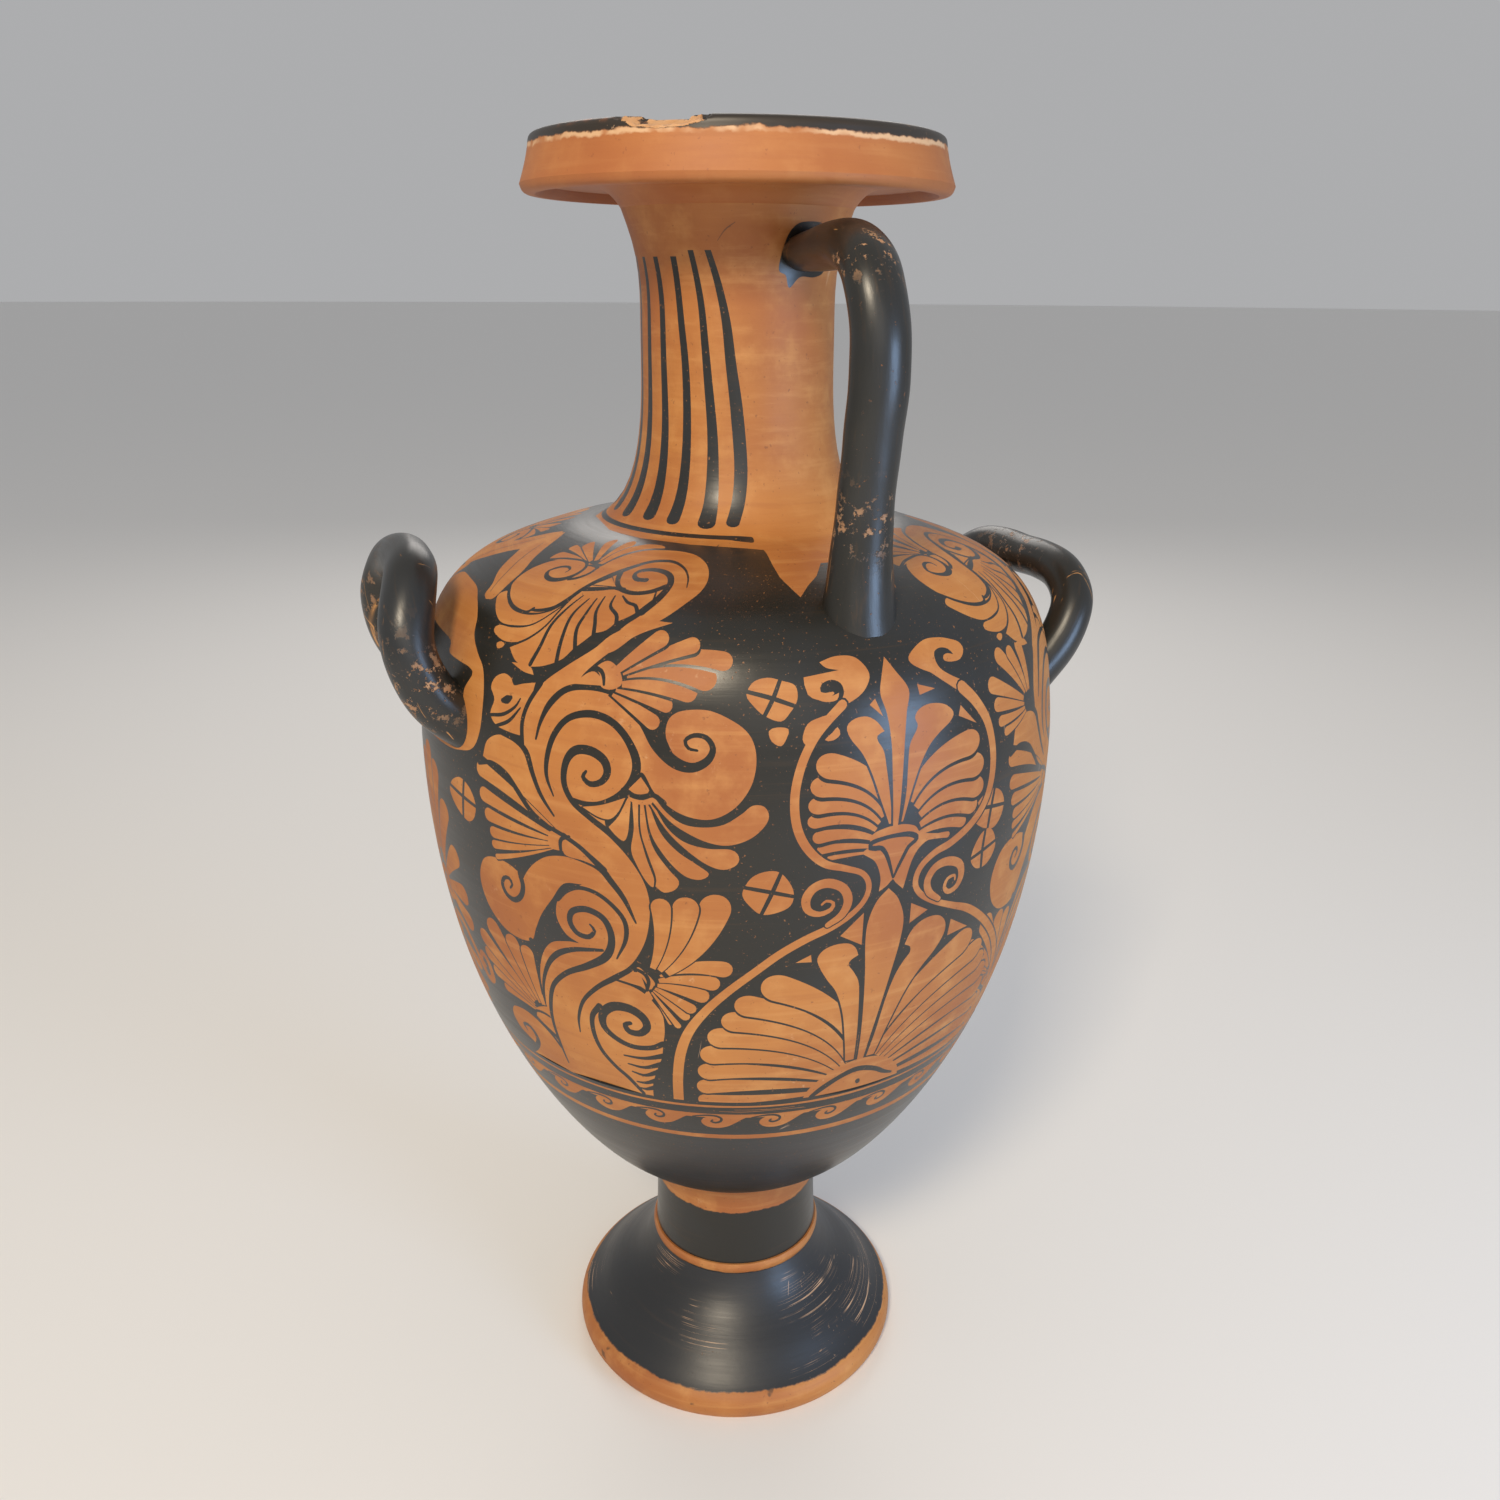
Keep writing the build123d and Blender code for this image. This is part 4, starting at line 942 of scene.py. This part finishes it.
def clayFinish(w, place, spin):
    cloud = w.noise(place, 9.0, 4.0, 0.55)
    mottle = w.noise(place, 70.0, 4.0, 0.6)
    wheel = w.noise(w.stretch(spin, (1.2, 1.2, 2.6)), 1.0, 5.0, 0.6)
    colour = w.blend(cloud.step(0.38, 0.68), finish["clayDeep"], finish["clay"])
    colour = w.blend(mottle.step(0.45, 0.78) * 0.55, colour, finish["clayPale"])
    colour = w.blend(wheel.step(0.5, 0.72) * 0.35, colour, finish["clayPale"])
    colour = w.blend(wheel.step(0.48, 0.3) * 0.3, colour, finish["clayDeep"])
    speck = w.noise(place, 520.0, 2.0, 0.7).step(0.67, 0.73)
    colour = w.blend(speck * 0.55, colour, finish["speck"])
    dust = (w.noise(place, 160.0, 4.0, 0.7).step(0.62, 0.74)) * (w.noise(place, 21.0, 2.0, 0.5).step(0.5, 0.66))
    colour = w.blend(dust * 0.4, colour, finish["clayDust"])
    rough = 0.46 + mottle * 0.22 + dust * 0.1
    height = wheel * 0.55 + mottle * 0.25 + w.noise(place, 900.0, 2.0, 0.6) * 0.12
    return colour, rough, height


def glossFinish(w, place, spin, wear, bare):
    cloud = w.noise(place, 14.0, 3.0, 0.5)
    stroke = w.noise(w.stretch(spin, (1.6, 1.6, 3.4)), 1.0, 5.0, 0.62, 0.3)
    colour = w.blend(cloud.step(0.42, 0.66), finish["gloss"], finish["glossBlue"])
    colour = w.blend(stroke.step(0.56, 0.76) * 0.6, colour, finish["glossBrown"])
    fleck = w.noise(place, 430.0, 3.0, 0.75)
    patch = w.noise(place, 16.0, 3.0, 0.6)
    chips = fleck.step(0.715 - 0.05 * wear, 0.735 - 0.05 * wear) * patch.step(0.5, 0.6)
    colour = w.blend(chips * 0.85, colour, bare)
    rough = 0.19 + stroke * 0.16 + cloud * 0.10 + chips * 0.35
    height = stroke * 0.2 - chips * 0.5 + w.noise(place, 260.0, 3.0, 0.5) * 0.1
    return colour, rough, height


def scratches(w, place, lean, scale, amount):
    # Hairlines: a thin slice of a noise that is drawn out along one direction, broken up by a second noise.
    along = w.noise(w.stretch(place, lean), scale, 0.0, 0.4)
    gate = w.noise(place, scale * 0.6, 3.0, 0.6)
    return (1 - abs(along - 0.5).step(0.0015, 0.005)) * gate.step(0.62 - amount, 0.66 - amount)


def fired(name, build, bump=0.00035):
    # build gets the node maker and the places on the surface; it returns colour, roughness and height.
    material = bpy.data.materials.new(name)
    material.use_nodes = True
    tree = material.node_tree
    shader = tree.nodes["Principled BSDF"]
    w = Wire(tree)
    place = w.add("TexCoord", out=3)
    spin = w.add("Attribute", out=1, attribute_name="spin", attribute_type="GEOMETRY")
    colour, rough, height = build(w, place, spin)
    relief = w.add("Bump", {"Strength": 0.75, "Distance": bump, "Height": height})
    for key, wire in (("Base Color", colour), ("Roughness", rough), ("Normal", relief)):
        tree.links.new(wire.socket, shader.inputs[key])
    shader.inputs["Specular IOR Level"].default_value = 0.5
    return material


def layered(w, share, under, over):
    # The over finish on the under finish, where share is 1.
    colour = w.blend(share, under[0], over[0])
    rough = under[1] + share * (over[1] - under[1])
    height = under[2] + share * (over[2] - under[2] + 0.5)
    return colour, rough, height


def mark(w, name):
    return w.add("Attribute", out=2, attribute_name=name, attribute_type="GEOMETRY")


def heightOf(w, place):
    return w.add("SeparateXYZ", {"Vector": place}, out=2)


def wallFinish(w, place, spin):
    paint = mark(w, "paint")
    under = clayFinish(w, place, spin)
    over = glossFinish(w, place, spin, 0.2, finish["clay"])
    line = scratches(w, place, (1, 1, 0.12), 60.0, -0.04) * 0.55
    over = (w.blend(line, over[0], finish["raw"]), over[1], over[2])
    brushed = paint * (1 - w.noise(place, 900.0, 2.0, 0.6).step(0.66, 0.74) * 0.5)
    colour, rough, height = layered(w, brushed, under, over)
    pale = scratches(w, place, (1, 1, 0.14), 50.0, -0.03) * (1 - paint)
    colour = w.blend(pale * 0.7, colour, finish["clayDust"])
    return colour, rough, height


# Heights where clay and black meet, in metres; the step between each pair of numbers is the soft edge
colourEdge = {"foot": (0.0112, 0.0118), "collar": (0.0474, 0.0482), "stem": (0.0790, 0.0798),
              "lip": (0.5112, 0.5120), "lipWorn": 0.5109}


def footFinish(w, place, spin):
    z = heightOf(w, place)
    jitter = (w.noise(w.stretch(spin, (1.6, 1.6, 0.2)), 1.0, 3.0, 0.55) - 0.5) * 0.0026
    fine = (w.noise(place, 300.0, 3.0, 0.6) - 0.5) * 0.0012
    edge = z + jitter + fine
    blackTop = edge.step(*colourEdge["foot"]) * (1 - edge.step(*colourEdge["collar"]))
    over = glossFinish(w, place, spin, 1.1, finish["raw"])
    rings = 1 - abs(w.noise(w.stretch(spin, (0.25, 0.25, 5.0)), 1.0, 2.0, 0.5) - 0.5).step(0.003, 0.012)
    rings = rings * w.noise(place, 26.0, 3.0, 0.6).step(0.54, 0.64)
    line = scratches(w, place, (0.9, 0.2, 0.35), 72.0, -0.02) * 0.6
    # Painted reflection: the foot's black gloss is blended six tenths towards blue, standing in for the cool light it
    # reflects.
    paintedBlueSheen = w.blend(0.6, over[0], finish["footPaintedSheen"])
    over = (w.blend(rings.most(line) * 0.8, paintedBlueSheen, finish["raw"]), over[1] + 0.08, over[2])
    under = clayFinish(w, place, spin)
    spot = w.noise(place, 60.0, 3.0, 0.7).step(0.66, 0.7)
    under = (w.blend(spot * 0.7, under[0], finish["glossBrown"]), under[1], under[2])
    return layered(w, blackTop, under, over)


def stemFinish(w, place, spin):
    z = heightOf(w, place)
    jitter = (w.noise(w.stretch(spin, (1.5, 1.5, 0.3)), 1.0, 3.0, 0.55) - 0.5) * 0.004
    edge = z + jitter + (w.noise(place, 420.0, 3.0, 0.6) - 0.5) * 0.002
    black = 1 - edge.step(*colourEdge["stem"])
    return layered(w, black, clayFinish(w, place, spin), glossFinish(w, place, spin, 0.6, finish["raw"]))


# Sizes of the mouth, in mm and degrees; the chip is an egg-shaped hollow on the ridge
lip = {
    "outer": reach("mouth"), "upper": 72.8, "top": top("mouth"), "height": 19.4, "recess": 2.8, "columns": 360,
    "ridgeInner": 66.7, "dishOuter": 64.7, "dish": 2.0, "throat": 43.3, "throatTop": 509.0, "throatFoot": 34.8,
    "chipTurn": -42.0, "chipWidth": 15.0, "chipReach": 8.3, "chipDepth": 3.4,
    "chipMark": (8.8, 15.2, 4.0),
}


def lipFinish(w, place, spin):
    z = heightOf(w, place)
    jitter = (w.noise(w.stretch(spin, (2.6, 2.6, 0.5)), 1.0, 5.0, 0.65) - 0.5) * 0.0042
    edge = z + jitter + (w.noise(place, 300.0, 3.0, 0.6) - 0.5) * 0.0020
    way = heightOf(w, spin) + (w.noise(w.stretch(spin, (1.8, 1.8, 0.2)), 1.0, 3.0, 0.5) - 0.5) * 0.5
    black = edge.step(*colourEdge["lip"]).most(way.step(5.7, 5.8)) * (1 - way.step(8.75, 8.82))
    under = clayFinish(w, place, spin)
    line = 1 - abs(edge - colourEdge["lipWorn"]).step(0.0003, 0.0012)
    line = line * w.noise(place, 46.0, 3.0, 0.6).step(0.42, 0.56)
    worn = line * (1 - way.step(5.7, 5.9))
    smear = w.noise(w.stretch(spin, (1.4, 1.4, 1.8)), 1.0, 3.0, 0.5).step(0.62, 0.75)
    colour = w.blend(smear * 0.45, w.blend(0.45, under[0], finish["clayRed"]), finish["clayDeep"])
    colour = w.blend(worn * 0.85, colour, finish["clayDust"])
    over = glossFinish(w, place, spin, 1.3, finish["raw"])
    over = (w.blend(0.35, over[0], finish["glossBrown"]), over[1] + 0.1, over[2])
    rubbed = w.noise(place, 55.0, 4.0, 0.65).step(0.58, 0.66) * (1 - abs(way - 6.15).step(0.15, 0.5))
    over = (w.blend(rubbed * 0.7, over[0], finish["clayDeep"]), over[1], over[2])
    colour, rough, height = layered(w, black, (colour, under[1], under[2]), over)
    turn, out = radians(lip["chipTurn"]), (lip["upper"] + 1) * mm
    local = w.add("Mapping", {"Vector": place, "Location": (out * sin(turn), -out * cos(turn), lip["top"] * mm),
                              "Rotation": (0, 0, turn - pi / 2), "Scale": tuple(v * mm for v in lip["chipMark"])},
                  vector_type="TEXTURE")
    spread = w.add("VectorMath", {0: local}, out=1, operation="LENGTH") + (w.noise(place, 260.0, 4.0, 0.7) - 0.5) * 0.5
    broken = 1 - spread.step(0.98, 1.03)
    grain = w.noise(place, 240.0, 5.0, 0.75)
    colour = w.blend(broken, colour, w.blend(grain, finish["clay"], finish["clayDust"]))
    return colour, rough + broken * 0.25, height + broken * grain * 2.2


def handleFinish(w, place, spin):
    over = glossFinish(w, place, spin, 0.9, finish["thin"])
    along = scratches(w, place, (1, 1, 0.2), 70.0, 0.05)
    across = scratches(w, place, (0.25, 0.9, 0.5), 75.0, 0.03)
    colour = w.blend(along.most(across) * 0.8, over[0], finish["clayPale"])
    worn = mark(w, "wear")
    bite = w.noise(place, 210.0, 5.0, 0.75).step(0.56, 0.60) * worn
    colour = w.blend(bite, colour, w.blend(w.noise(place, 300.0, 3.0, 0.6), finish["clayDeep"], finish["clayDust"]))
    gash = mark(w, "gash") * w.noise(place, 190.0, 3.0, 0.7).step(0.36, 0.46)
    colour = w.blend(gash, colour, finish["clayPale"])
    return colour, over[1] + bite * 0.25, over[2] - bite * 1.2 - gash * 0.8


wallPaint = fired("fired_clay_wall", wallFinish)
footPaint = fired("fired_clay_foot", footFinish)
stemPaint = fired("fired_clay_stem", stemFinish)
lipPaint = fired("fired_clay_lip", lipFinish)
handlePaint = fired("black_gloss_handle", handleFinish)
print("finishes made")


paintedWall("body_painted", ["belly", "shoulder", "neck"], wallPaint)

# Foot and stem
foot = {"edge": [(73, 0), (74.2, 2.4), (74.5, 6.1), (73.6, 9), (72, 11.1)],
        "top": [(72, 11.1), (59.8, 21.9), (48.3, 31.9), (38.1, 47)],
        "collar": [(38.1, 47), (38.8, 49.5), (38.1, 52)],
        "hollow": [(22, 52), (25.5, 37.4), (40, 19.8), (58, 0)],
        "restingRing": [(64, 0), (70, 0)]}
stem = {"flare": 0.7, "straightFrom": 18.9}
turned("foot_turned", np.vstack([spline(foot["edge"], 14), spline(foot["top"], 44, (-1, 0.62), (-0.42, 1))[1:],
                                 spline(foot["collar"], 9)[1:], spline(foot["hollow"], 24, (0, -1), (0.8, -1)),
                                 foot["restingRing"]]), "black_gloss", ["foot"], footPaint)
stemSide = [(stemRadius + stem["flare"], top("foot")), (stemRadius, top("foot") + stem["straightFrom"]),
            (stemRadius, stemTop)]
stemBore = [(jar["bore"], stemTop - jar["bossDepth"]), (jar["bore"], 72), (jar["bore"], top("foot"))]
turned("stem_turned", np.vstack([spline(stemSide, 16), stemBore]), "fired_clay", ["stem"], stemPaint)

# Mouth, with its old chip
lipLow, lipUnder = lip["top"] - lip["height"], lip["top"] - lip["height"] + lip["recess"]
rimInner = lip["outer"] - 8
lipProfile = np.vstack([
    spline([(jar["neckTop"], mouthJoint), (jar["neckTop"] + 9, lipUnder)], 12, (0.62, 1), (1, 0.1)),
    [(60, lipUnder + 0.35), (rimInner, lipUnder + 0.6), (rimInner + 1.2, lipLow + 1.3)],
    spline([(rimInner + 2.6, lipLow), (lip["outer"] - 1, lipLow + 0.9), (lip["outer"], lipLow + 3.2)], 8),
    spline([(lip["outer"], lipLow + 3.2), (lip["upper"] + 1.6, lip["top"] - 6.5),
            (lip["upper"] + 1, lip["top"] - 3.4)], 14)[1:],
    spline([(lip["upper"] + 1, lip["top"] - 3.4), (lip["upper"] + 0.3, lip["top"] - 0.9),
            (lip["upper"] - 1.6, lip["top"])], 8)[1:],
    np.linspace((lip["upper"] - 2.6, lip["top"]), (lip["ridgeInner"], lip["top"]), 5),
    [(lip["dishOuter"] + 1, lip["top"] - lip["dish"] + 1), (lip["dishOuter"], lip["top"] - lip["dish"])],
    np.linspace((60, lip["top"] - 3), (lip["throat"], lip["throatTop"]), 5),
    spline([(lip["throat"], lip["throatTop"]), (lip["throatFoot"], mouthJoint - 4)], 16, (-1, -0.35),
           (-0.1, -1))[1:]])


def breakChip(grid, turn):
    # Points inside an egg-shaped hollow at the ridge drop to its floor, which sums of sines make rough.
    centre = radians(lip["chipTurn"])
    r = np.hypot(grid[..., 0], grid[..., 1])
    aside = (turn - centre + pi) % (2 * pi) - pi
    across = aside * lip["upper"] / lip["chipWidth"]
    across = across * (1 + 0.12 * np.sin(turn * 61) + 0.08 * np.sin(turn * 127))
    deep = (r - lip["upper"] - 1) / lip["chipReach"]
    room = 1 - across ** 2 - deep ** 2
    grain = 0.25 * np.sin(turn * 90 + r * 1.7) * (room > 0.1)
    floor = lip["top"] - lip["chipDepth"] * np.sqrt(np.clip(room, 0, 1)) + grain
    hit = (room > 0) & (grid[..., 2] > floor)
    grid[..., 2] = np.where(hit, floor, grid[..., 2])
    return grid


turned("mouth_turned", lipProfile, "fired_clay", ["mouth"], lipPaint, lip["columns"], breakChip)


# Handles
def keepInWall(points, depth=4.5):
    # Points deeper in the clay than depth move out along the wall's own direction, so no root shows inside the jar.
    flat = points.reshape(-1, 3)
    r = np.hypot(flat[:, 0], flat[:, 1])
    table = wallCurve[::4]
    out = wallOut[::4]
    gap = (r[:, None] - table[None, :, 0]) ** 2 + (flat[:, 2:] - table[None, :, 1]) ** 2
    near = gap.argmin(axis=1)
    off = (r - table[near, 0]) * out[near, 0] + (flat[:, 2] - table[near, 1]) * out[near, 1]
    move = np.where(off < -depth, -depth - off, 0.0)
    scale = (r + move * out[near, 0]) / np.maximum(r, 1e-6)
    return np.column_stack([flat[:, 0] * scale, flat[:, 1] * scale, flat[:, 2]
                            + move * out[near, 1]]).reshape(points.shape)


def pulled(name, path, halfWidth, halfThickness, across, node, marks, columns=48):
    # A rolled handle: an ellipse carried along a smooth path; one half axis lies along across, the other square to it.
    count = len(path)
    share = lengths(path) / lengths(path)[-1]
    along = np.gradient(path, axis=0)
    along /= np.linalg.norm(along, axis=1)[:, None]
    side = across - along * (along @ across)[:, None]
    side /= np.linalg.norm(side, axis=1)[:, None]
    upward = np.cross(along, side)
    turn = np.arange(columns) * 2 * pi / columns
    wide, thick = halfWidth(share)[:, None], halfThickness(share)[:, None]
    dent = 1 + 0.012 * np.sin(share[:, None] * 23 + 2 * turn) + 0.008 * np.sin(share[:, None] * 57 - turn)
    grid = (path[:, None] + side[:, None] * (wide * dent * np.cos(turn))[..., None]
            + upward[:, None] * (thick * dent * np.sin(turn))[..., None])
    grid = keepInWall(grid)
    ends = [np.repeat(grid[k].mean(axis=0)[None, None], columns, axis=1) for k in (0, -1)]
    grid = np.concatenate([ends[0], grid, ends[1]])
    way = np.concatenate([[0], lengths(path), [lengths(path)[-1]]])
    spin = np.stack([np.cos(turn) * 3 + 0 * way[:, None], np.sin(turn) * 3 + 0 * way[:, None],
                     way[:, None] * 0.018 + 0 * turn], -1)
    fraction = np.concatenate([[0], share, [1]])[:, None]
    painted = {mark: function(fraction, turn[None, :]) for mark, function in marks.items()}
    return skin(name, grid, "black_gloss", [node], handlePaint, spin, **painted)


backHandle = {"width": 19.6, "thickness": 15.5, "lean": 11.0, "reach": 107.5, "rootFlare": 1.45, "rootPinch": 0.78,
              "drop": 13.5}
handleTop, handleReach, handleRoot = mouthJoint - backHandle["drop"], backHandle["reach"], jar["neckWaist"] - 4
bend = [(23.5, 0.4), (7.5, 8.5), (0.5, 29), (2.4, 52), (7.2, 84)]    # in from the reach, down from the top
route = np.array([(handleRoot, handleTop - 1.5), (handleRoot + 0.4 * (handleReach - handleRoot), handleTop)]
                 + [(handleReach - a, handleTop - b) for a, b in bend] + [(handleReach - 8.6, neckBase - 22)])
leanShare = (handleReach - 8 - route[:, 0]) / (handleReach - 8 - handleRoot)
leaning = backHandle["lean"] * np.maximum(0, leanShare)


def rootSwell(t):
    # 0 along the handle, rising with the square of the distance over its lowest quarter
    return (backHandle["rootFlare"] - 1) * np.maximum(0, (t - 0.76) / 0.24) ** 2


def rootPinch(t):
    return (1 - backHandle["rootPinch"]) * np.maximum(0, 1 - t / 0.3) ** 1.5


def spot(t, middle, spread):
    # A bell curve along the handle
    return np.exp(-((t - middle) / spread) ** 2)


pulled("back_handle_glazed", spline(np.column_stack([leaning, -route[:, 0], route[:, 1]]), 190),
       lambda t: backHandle["width"] / 2 * (1 + rootSwell(t)),
       lambda t: backHandle["thickness"] / 2 * (1 + rootSwell(t) - rootPinch(t)),
       np.array([1.0, 0, 0]), "back_handle",
       {"wear": lambda t, turn: 0.9 * spot(t, 0.37, 0.035) + 0.6 * spot(t, 0.80, 0.05) + 0 * turn,
        "gash": lambda t, turn: 0 * t * turn})


sideHandles = {"rootDepth": 5.5, "rootHeight": 23.0, "skew": -3.0, "swell": 0.15}


def sideHandle(name, node, side, shape, marks):
    # An arch off the wall: out and up are running sums of a direction that turns from rise to rise + curl.
    rise, curl = radians(shape["rise"]), radians(shape["curl"])
    rootRadius = reach("belly") - sideHandles["rootDepth"]
    i = np.arange(13.0)
    s = pi * i ** 2 / (i ** 2 + (12 - i) ** 2)
    c = np.cos(s)
    aside = rootRadius * sin(radians(shape["spread"])) * np.abs(c) ** shape["squareness"] * np.sign(c)
    share = np.sin(s) ** shape["squareness"]
    share[[0, -1]] = 0
    k = (np.arange(24) + 0.5) / 24
    heading = rise + curl * share[:, None] * k
    out = np.cos(heading).mean(axis=1) * shape["arc"] * share
    up = np.sin(heading).mean(axis=1) * shape["arc"] * share
    points = np.column_stack([rootRadius * cos(radians(shape["spread"])) + out, aside,
                              widest + sideHandles["rootHeight"] + up])
    lead = 1.4 * shape["radius"] * np.array([-cos(rise), 0, -sin(rise)])
    path = spline(np.vstack([points[0] + lead, points, points[-1] + lead]), 190)
    across = np.array([-sin(rise), 0, cos(rise)])
    path[:, 0] *= side
    across[0] *= side
    a = radians(sideHandles["skew"])
    spinRound = np.array([[cos(a), -sin(a), 0], [sin(a), cos(a), 0], [0, 0, 1]])

    def half(t):
        return shape["radius"] * (1 + sideHandles["swell"] * np.maximum(0, 1 - np.minimum(t, 1 - t) / 0.24) ** 2)

    pulled(name, path @ spinRound.T, half, half, spinRound @ across, node, marks)


leftHandle = {"radius": 9.3, "spread": 16.5, "arc": 57.0, "rise": 32.0, "curl": 91.0, "squareness": 0.65}
rightHandle = {"radius": 8.2, "spread": 24.0, "arc": 42.5, "rise": 43.0, "curl": 32.0, "squareness": 0.55}
sideHandle("side_handle_left_glazed", "side_handle_left", -1, leftHandle,
           {"wear": lambda t, turn: 0.7 * spot(t, 0.82, 0.07) + 0.45 * spot(t, 0.3, 0.1) + 0 * turn,
            "gash": lambda t, turn: spot(turn, 3.6 + 1.4 * (t - 0.25), 0.05) * (t > 0.1) * (t < 0.42)})
sideHandle("side_handle_right_glazed", "side_handle_right", 1, rightHandle,
           {"wear": lambda t, turn: 0.5 * spot(t, 0.5, 0.1) + 0 * turn, "gash": lambda t, turn: 0 * t * turn})

# Floor, lights and camera
studio = {
    "floorRadius": 30.0, "floorColour": (0.82, 0.81, 0.795, 1), "floorRoughness": 0.75,
    "skyColour": (0.80, 0.805, 0.82, 1), "skyStrength": 0.52,
    "lens": 30.83, "camera": (-0.2021, -0.4591, 0.4679), "turn": -24.4, "pitch": 20.06, "roll": -0.344,
}
floorTurn = np.arange(96) * 2 * pi / 96
floorRim = studio["floorRadius"] * np.column_stack([np.cos(floorTurn), np.sin(floorTurn), 0 * floorTurn])
floorMesh = bpy.data.meshes.new("floor")
floorMesh.from_pydata(floorRim.tolist(), [], [list(range(96))])
floor = bpy.data.objects.new("floor", floorMesh)
bpy.context.collection.objects.link(floor)
pale = bpy.data.materials.new("pale_floor")
pale.use_nodes = True
pale.node_tree.nodes["Principled BSDF"].inputs["Base Color"].default_value = studio["floorColour"]
pale.node_tree.nodes["Principled BSDF"].inputs["Roughness"].default_value = studio["floorRoughness"]
floorMesh.materials.append(pale)

world = bpy.data.worlds.new("studio")
world.use_nodes = True
world.node_tree.nodes["Background"].inputs["Color"].default_value = studio["skyColour"]
world.node_tree.nodes["Background"].inputs["Strength"].default_value = studio["skyStrength"]
bpy.context.scene.world = world


def lamp(name, place, aim, power, size, colour):
    light = bpy.data.lights.new(name, "AREA")
    light.energy, light.size, light.color = power, size, colour
    holder = bpy.data.objects.new(name, light)
    bpy.context.collection.objects.link(holder)
    holder.location = place
    holder.visible_camera = False
    holder.rotation_euler = (Vector(aim) - Vector(place)).to_track_quat("-Z", "Y").to_euler()


lamp("key_upper_left", (-0.95, -1.15, 1.5), (0, 0, 0.3), 24, 0.38, (1.0, 0.85, 0.64))
lamp("fill_front", (-0.4, -1.9, 0.9), (0, 0, 0.3), 4, 1.2, (1.0, 0.93, 0.86))
lamp("cool_low_right", (0.62, -1.05, 0.34), (0, 0, 0.14), 6.5, 0.40, (0.45, 0.66, 1.0))
lamp("rim_behind", (0.6, 1.4, 1.2), (0, 0, 0.35), 6, 0.9, (1.0, 0.95, 0.9))

turnLeft, pitch, roll = (radians(studio[k]) for k in ("turn", "pitch", "roll"))
frontDirection = Vector((-sin(turnLeft) * cos(pitch), cos(turnLeft) * cos(pitch), -sin(pitch)))
rightward = Vector((cos(turnLeft), sin(turnLeft), 0))
upward = rightward.cross(frontDirection)
rolledUp = upward * cos(roll) + rightward * sin(roll)
rolledRight = rightward * cos(roll) - upward * sin(roll)
camera = bpy.data.objects.new("camera", bpy.data.cameras.new("camera"))
bpy.context.collection.objects.link(camera)
camera.data.lens, camera.data.sensor_width, camera.data.clip_start = studio["lens"], 36, 0.01
pose = Matrix((rolledRight, rolledUp, -frontDirection)).transposed().to_4x4()
pose.translation = Vector(studio["camera"])
camera.matrix_world = pose
bpy.context.scene.camera = camera
bpy.context.scene.view_settings.view_transform = "Standard"

bpy.context.view_layer.update()
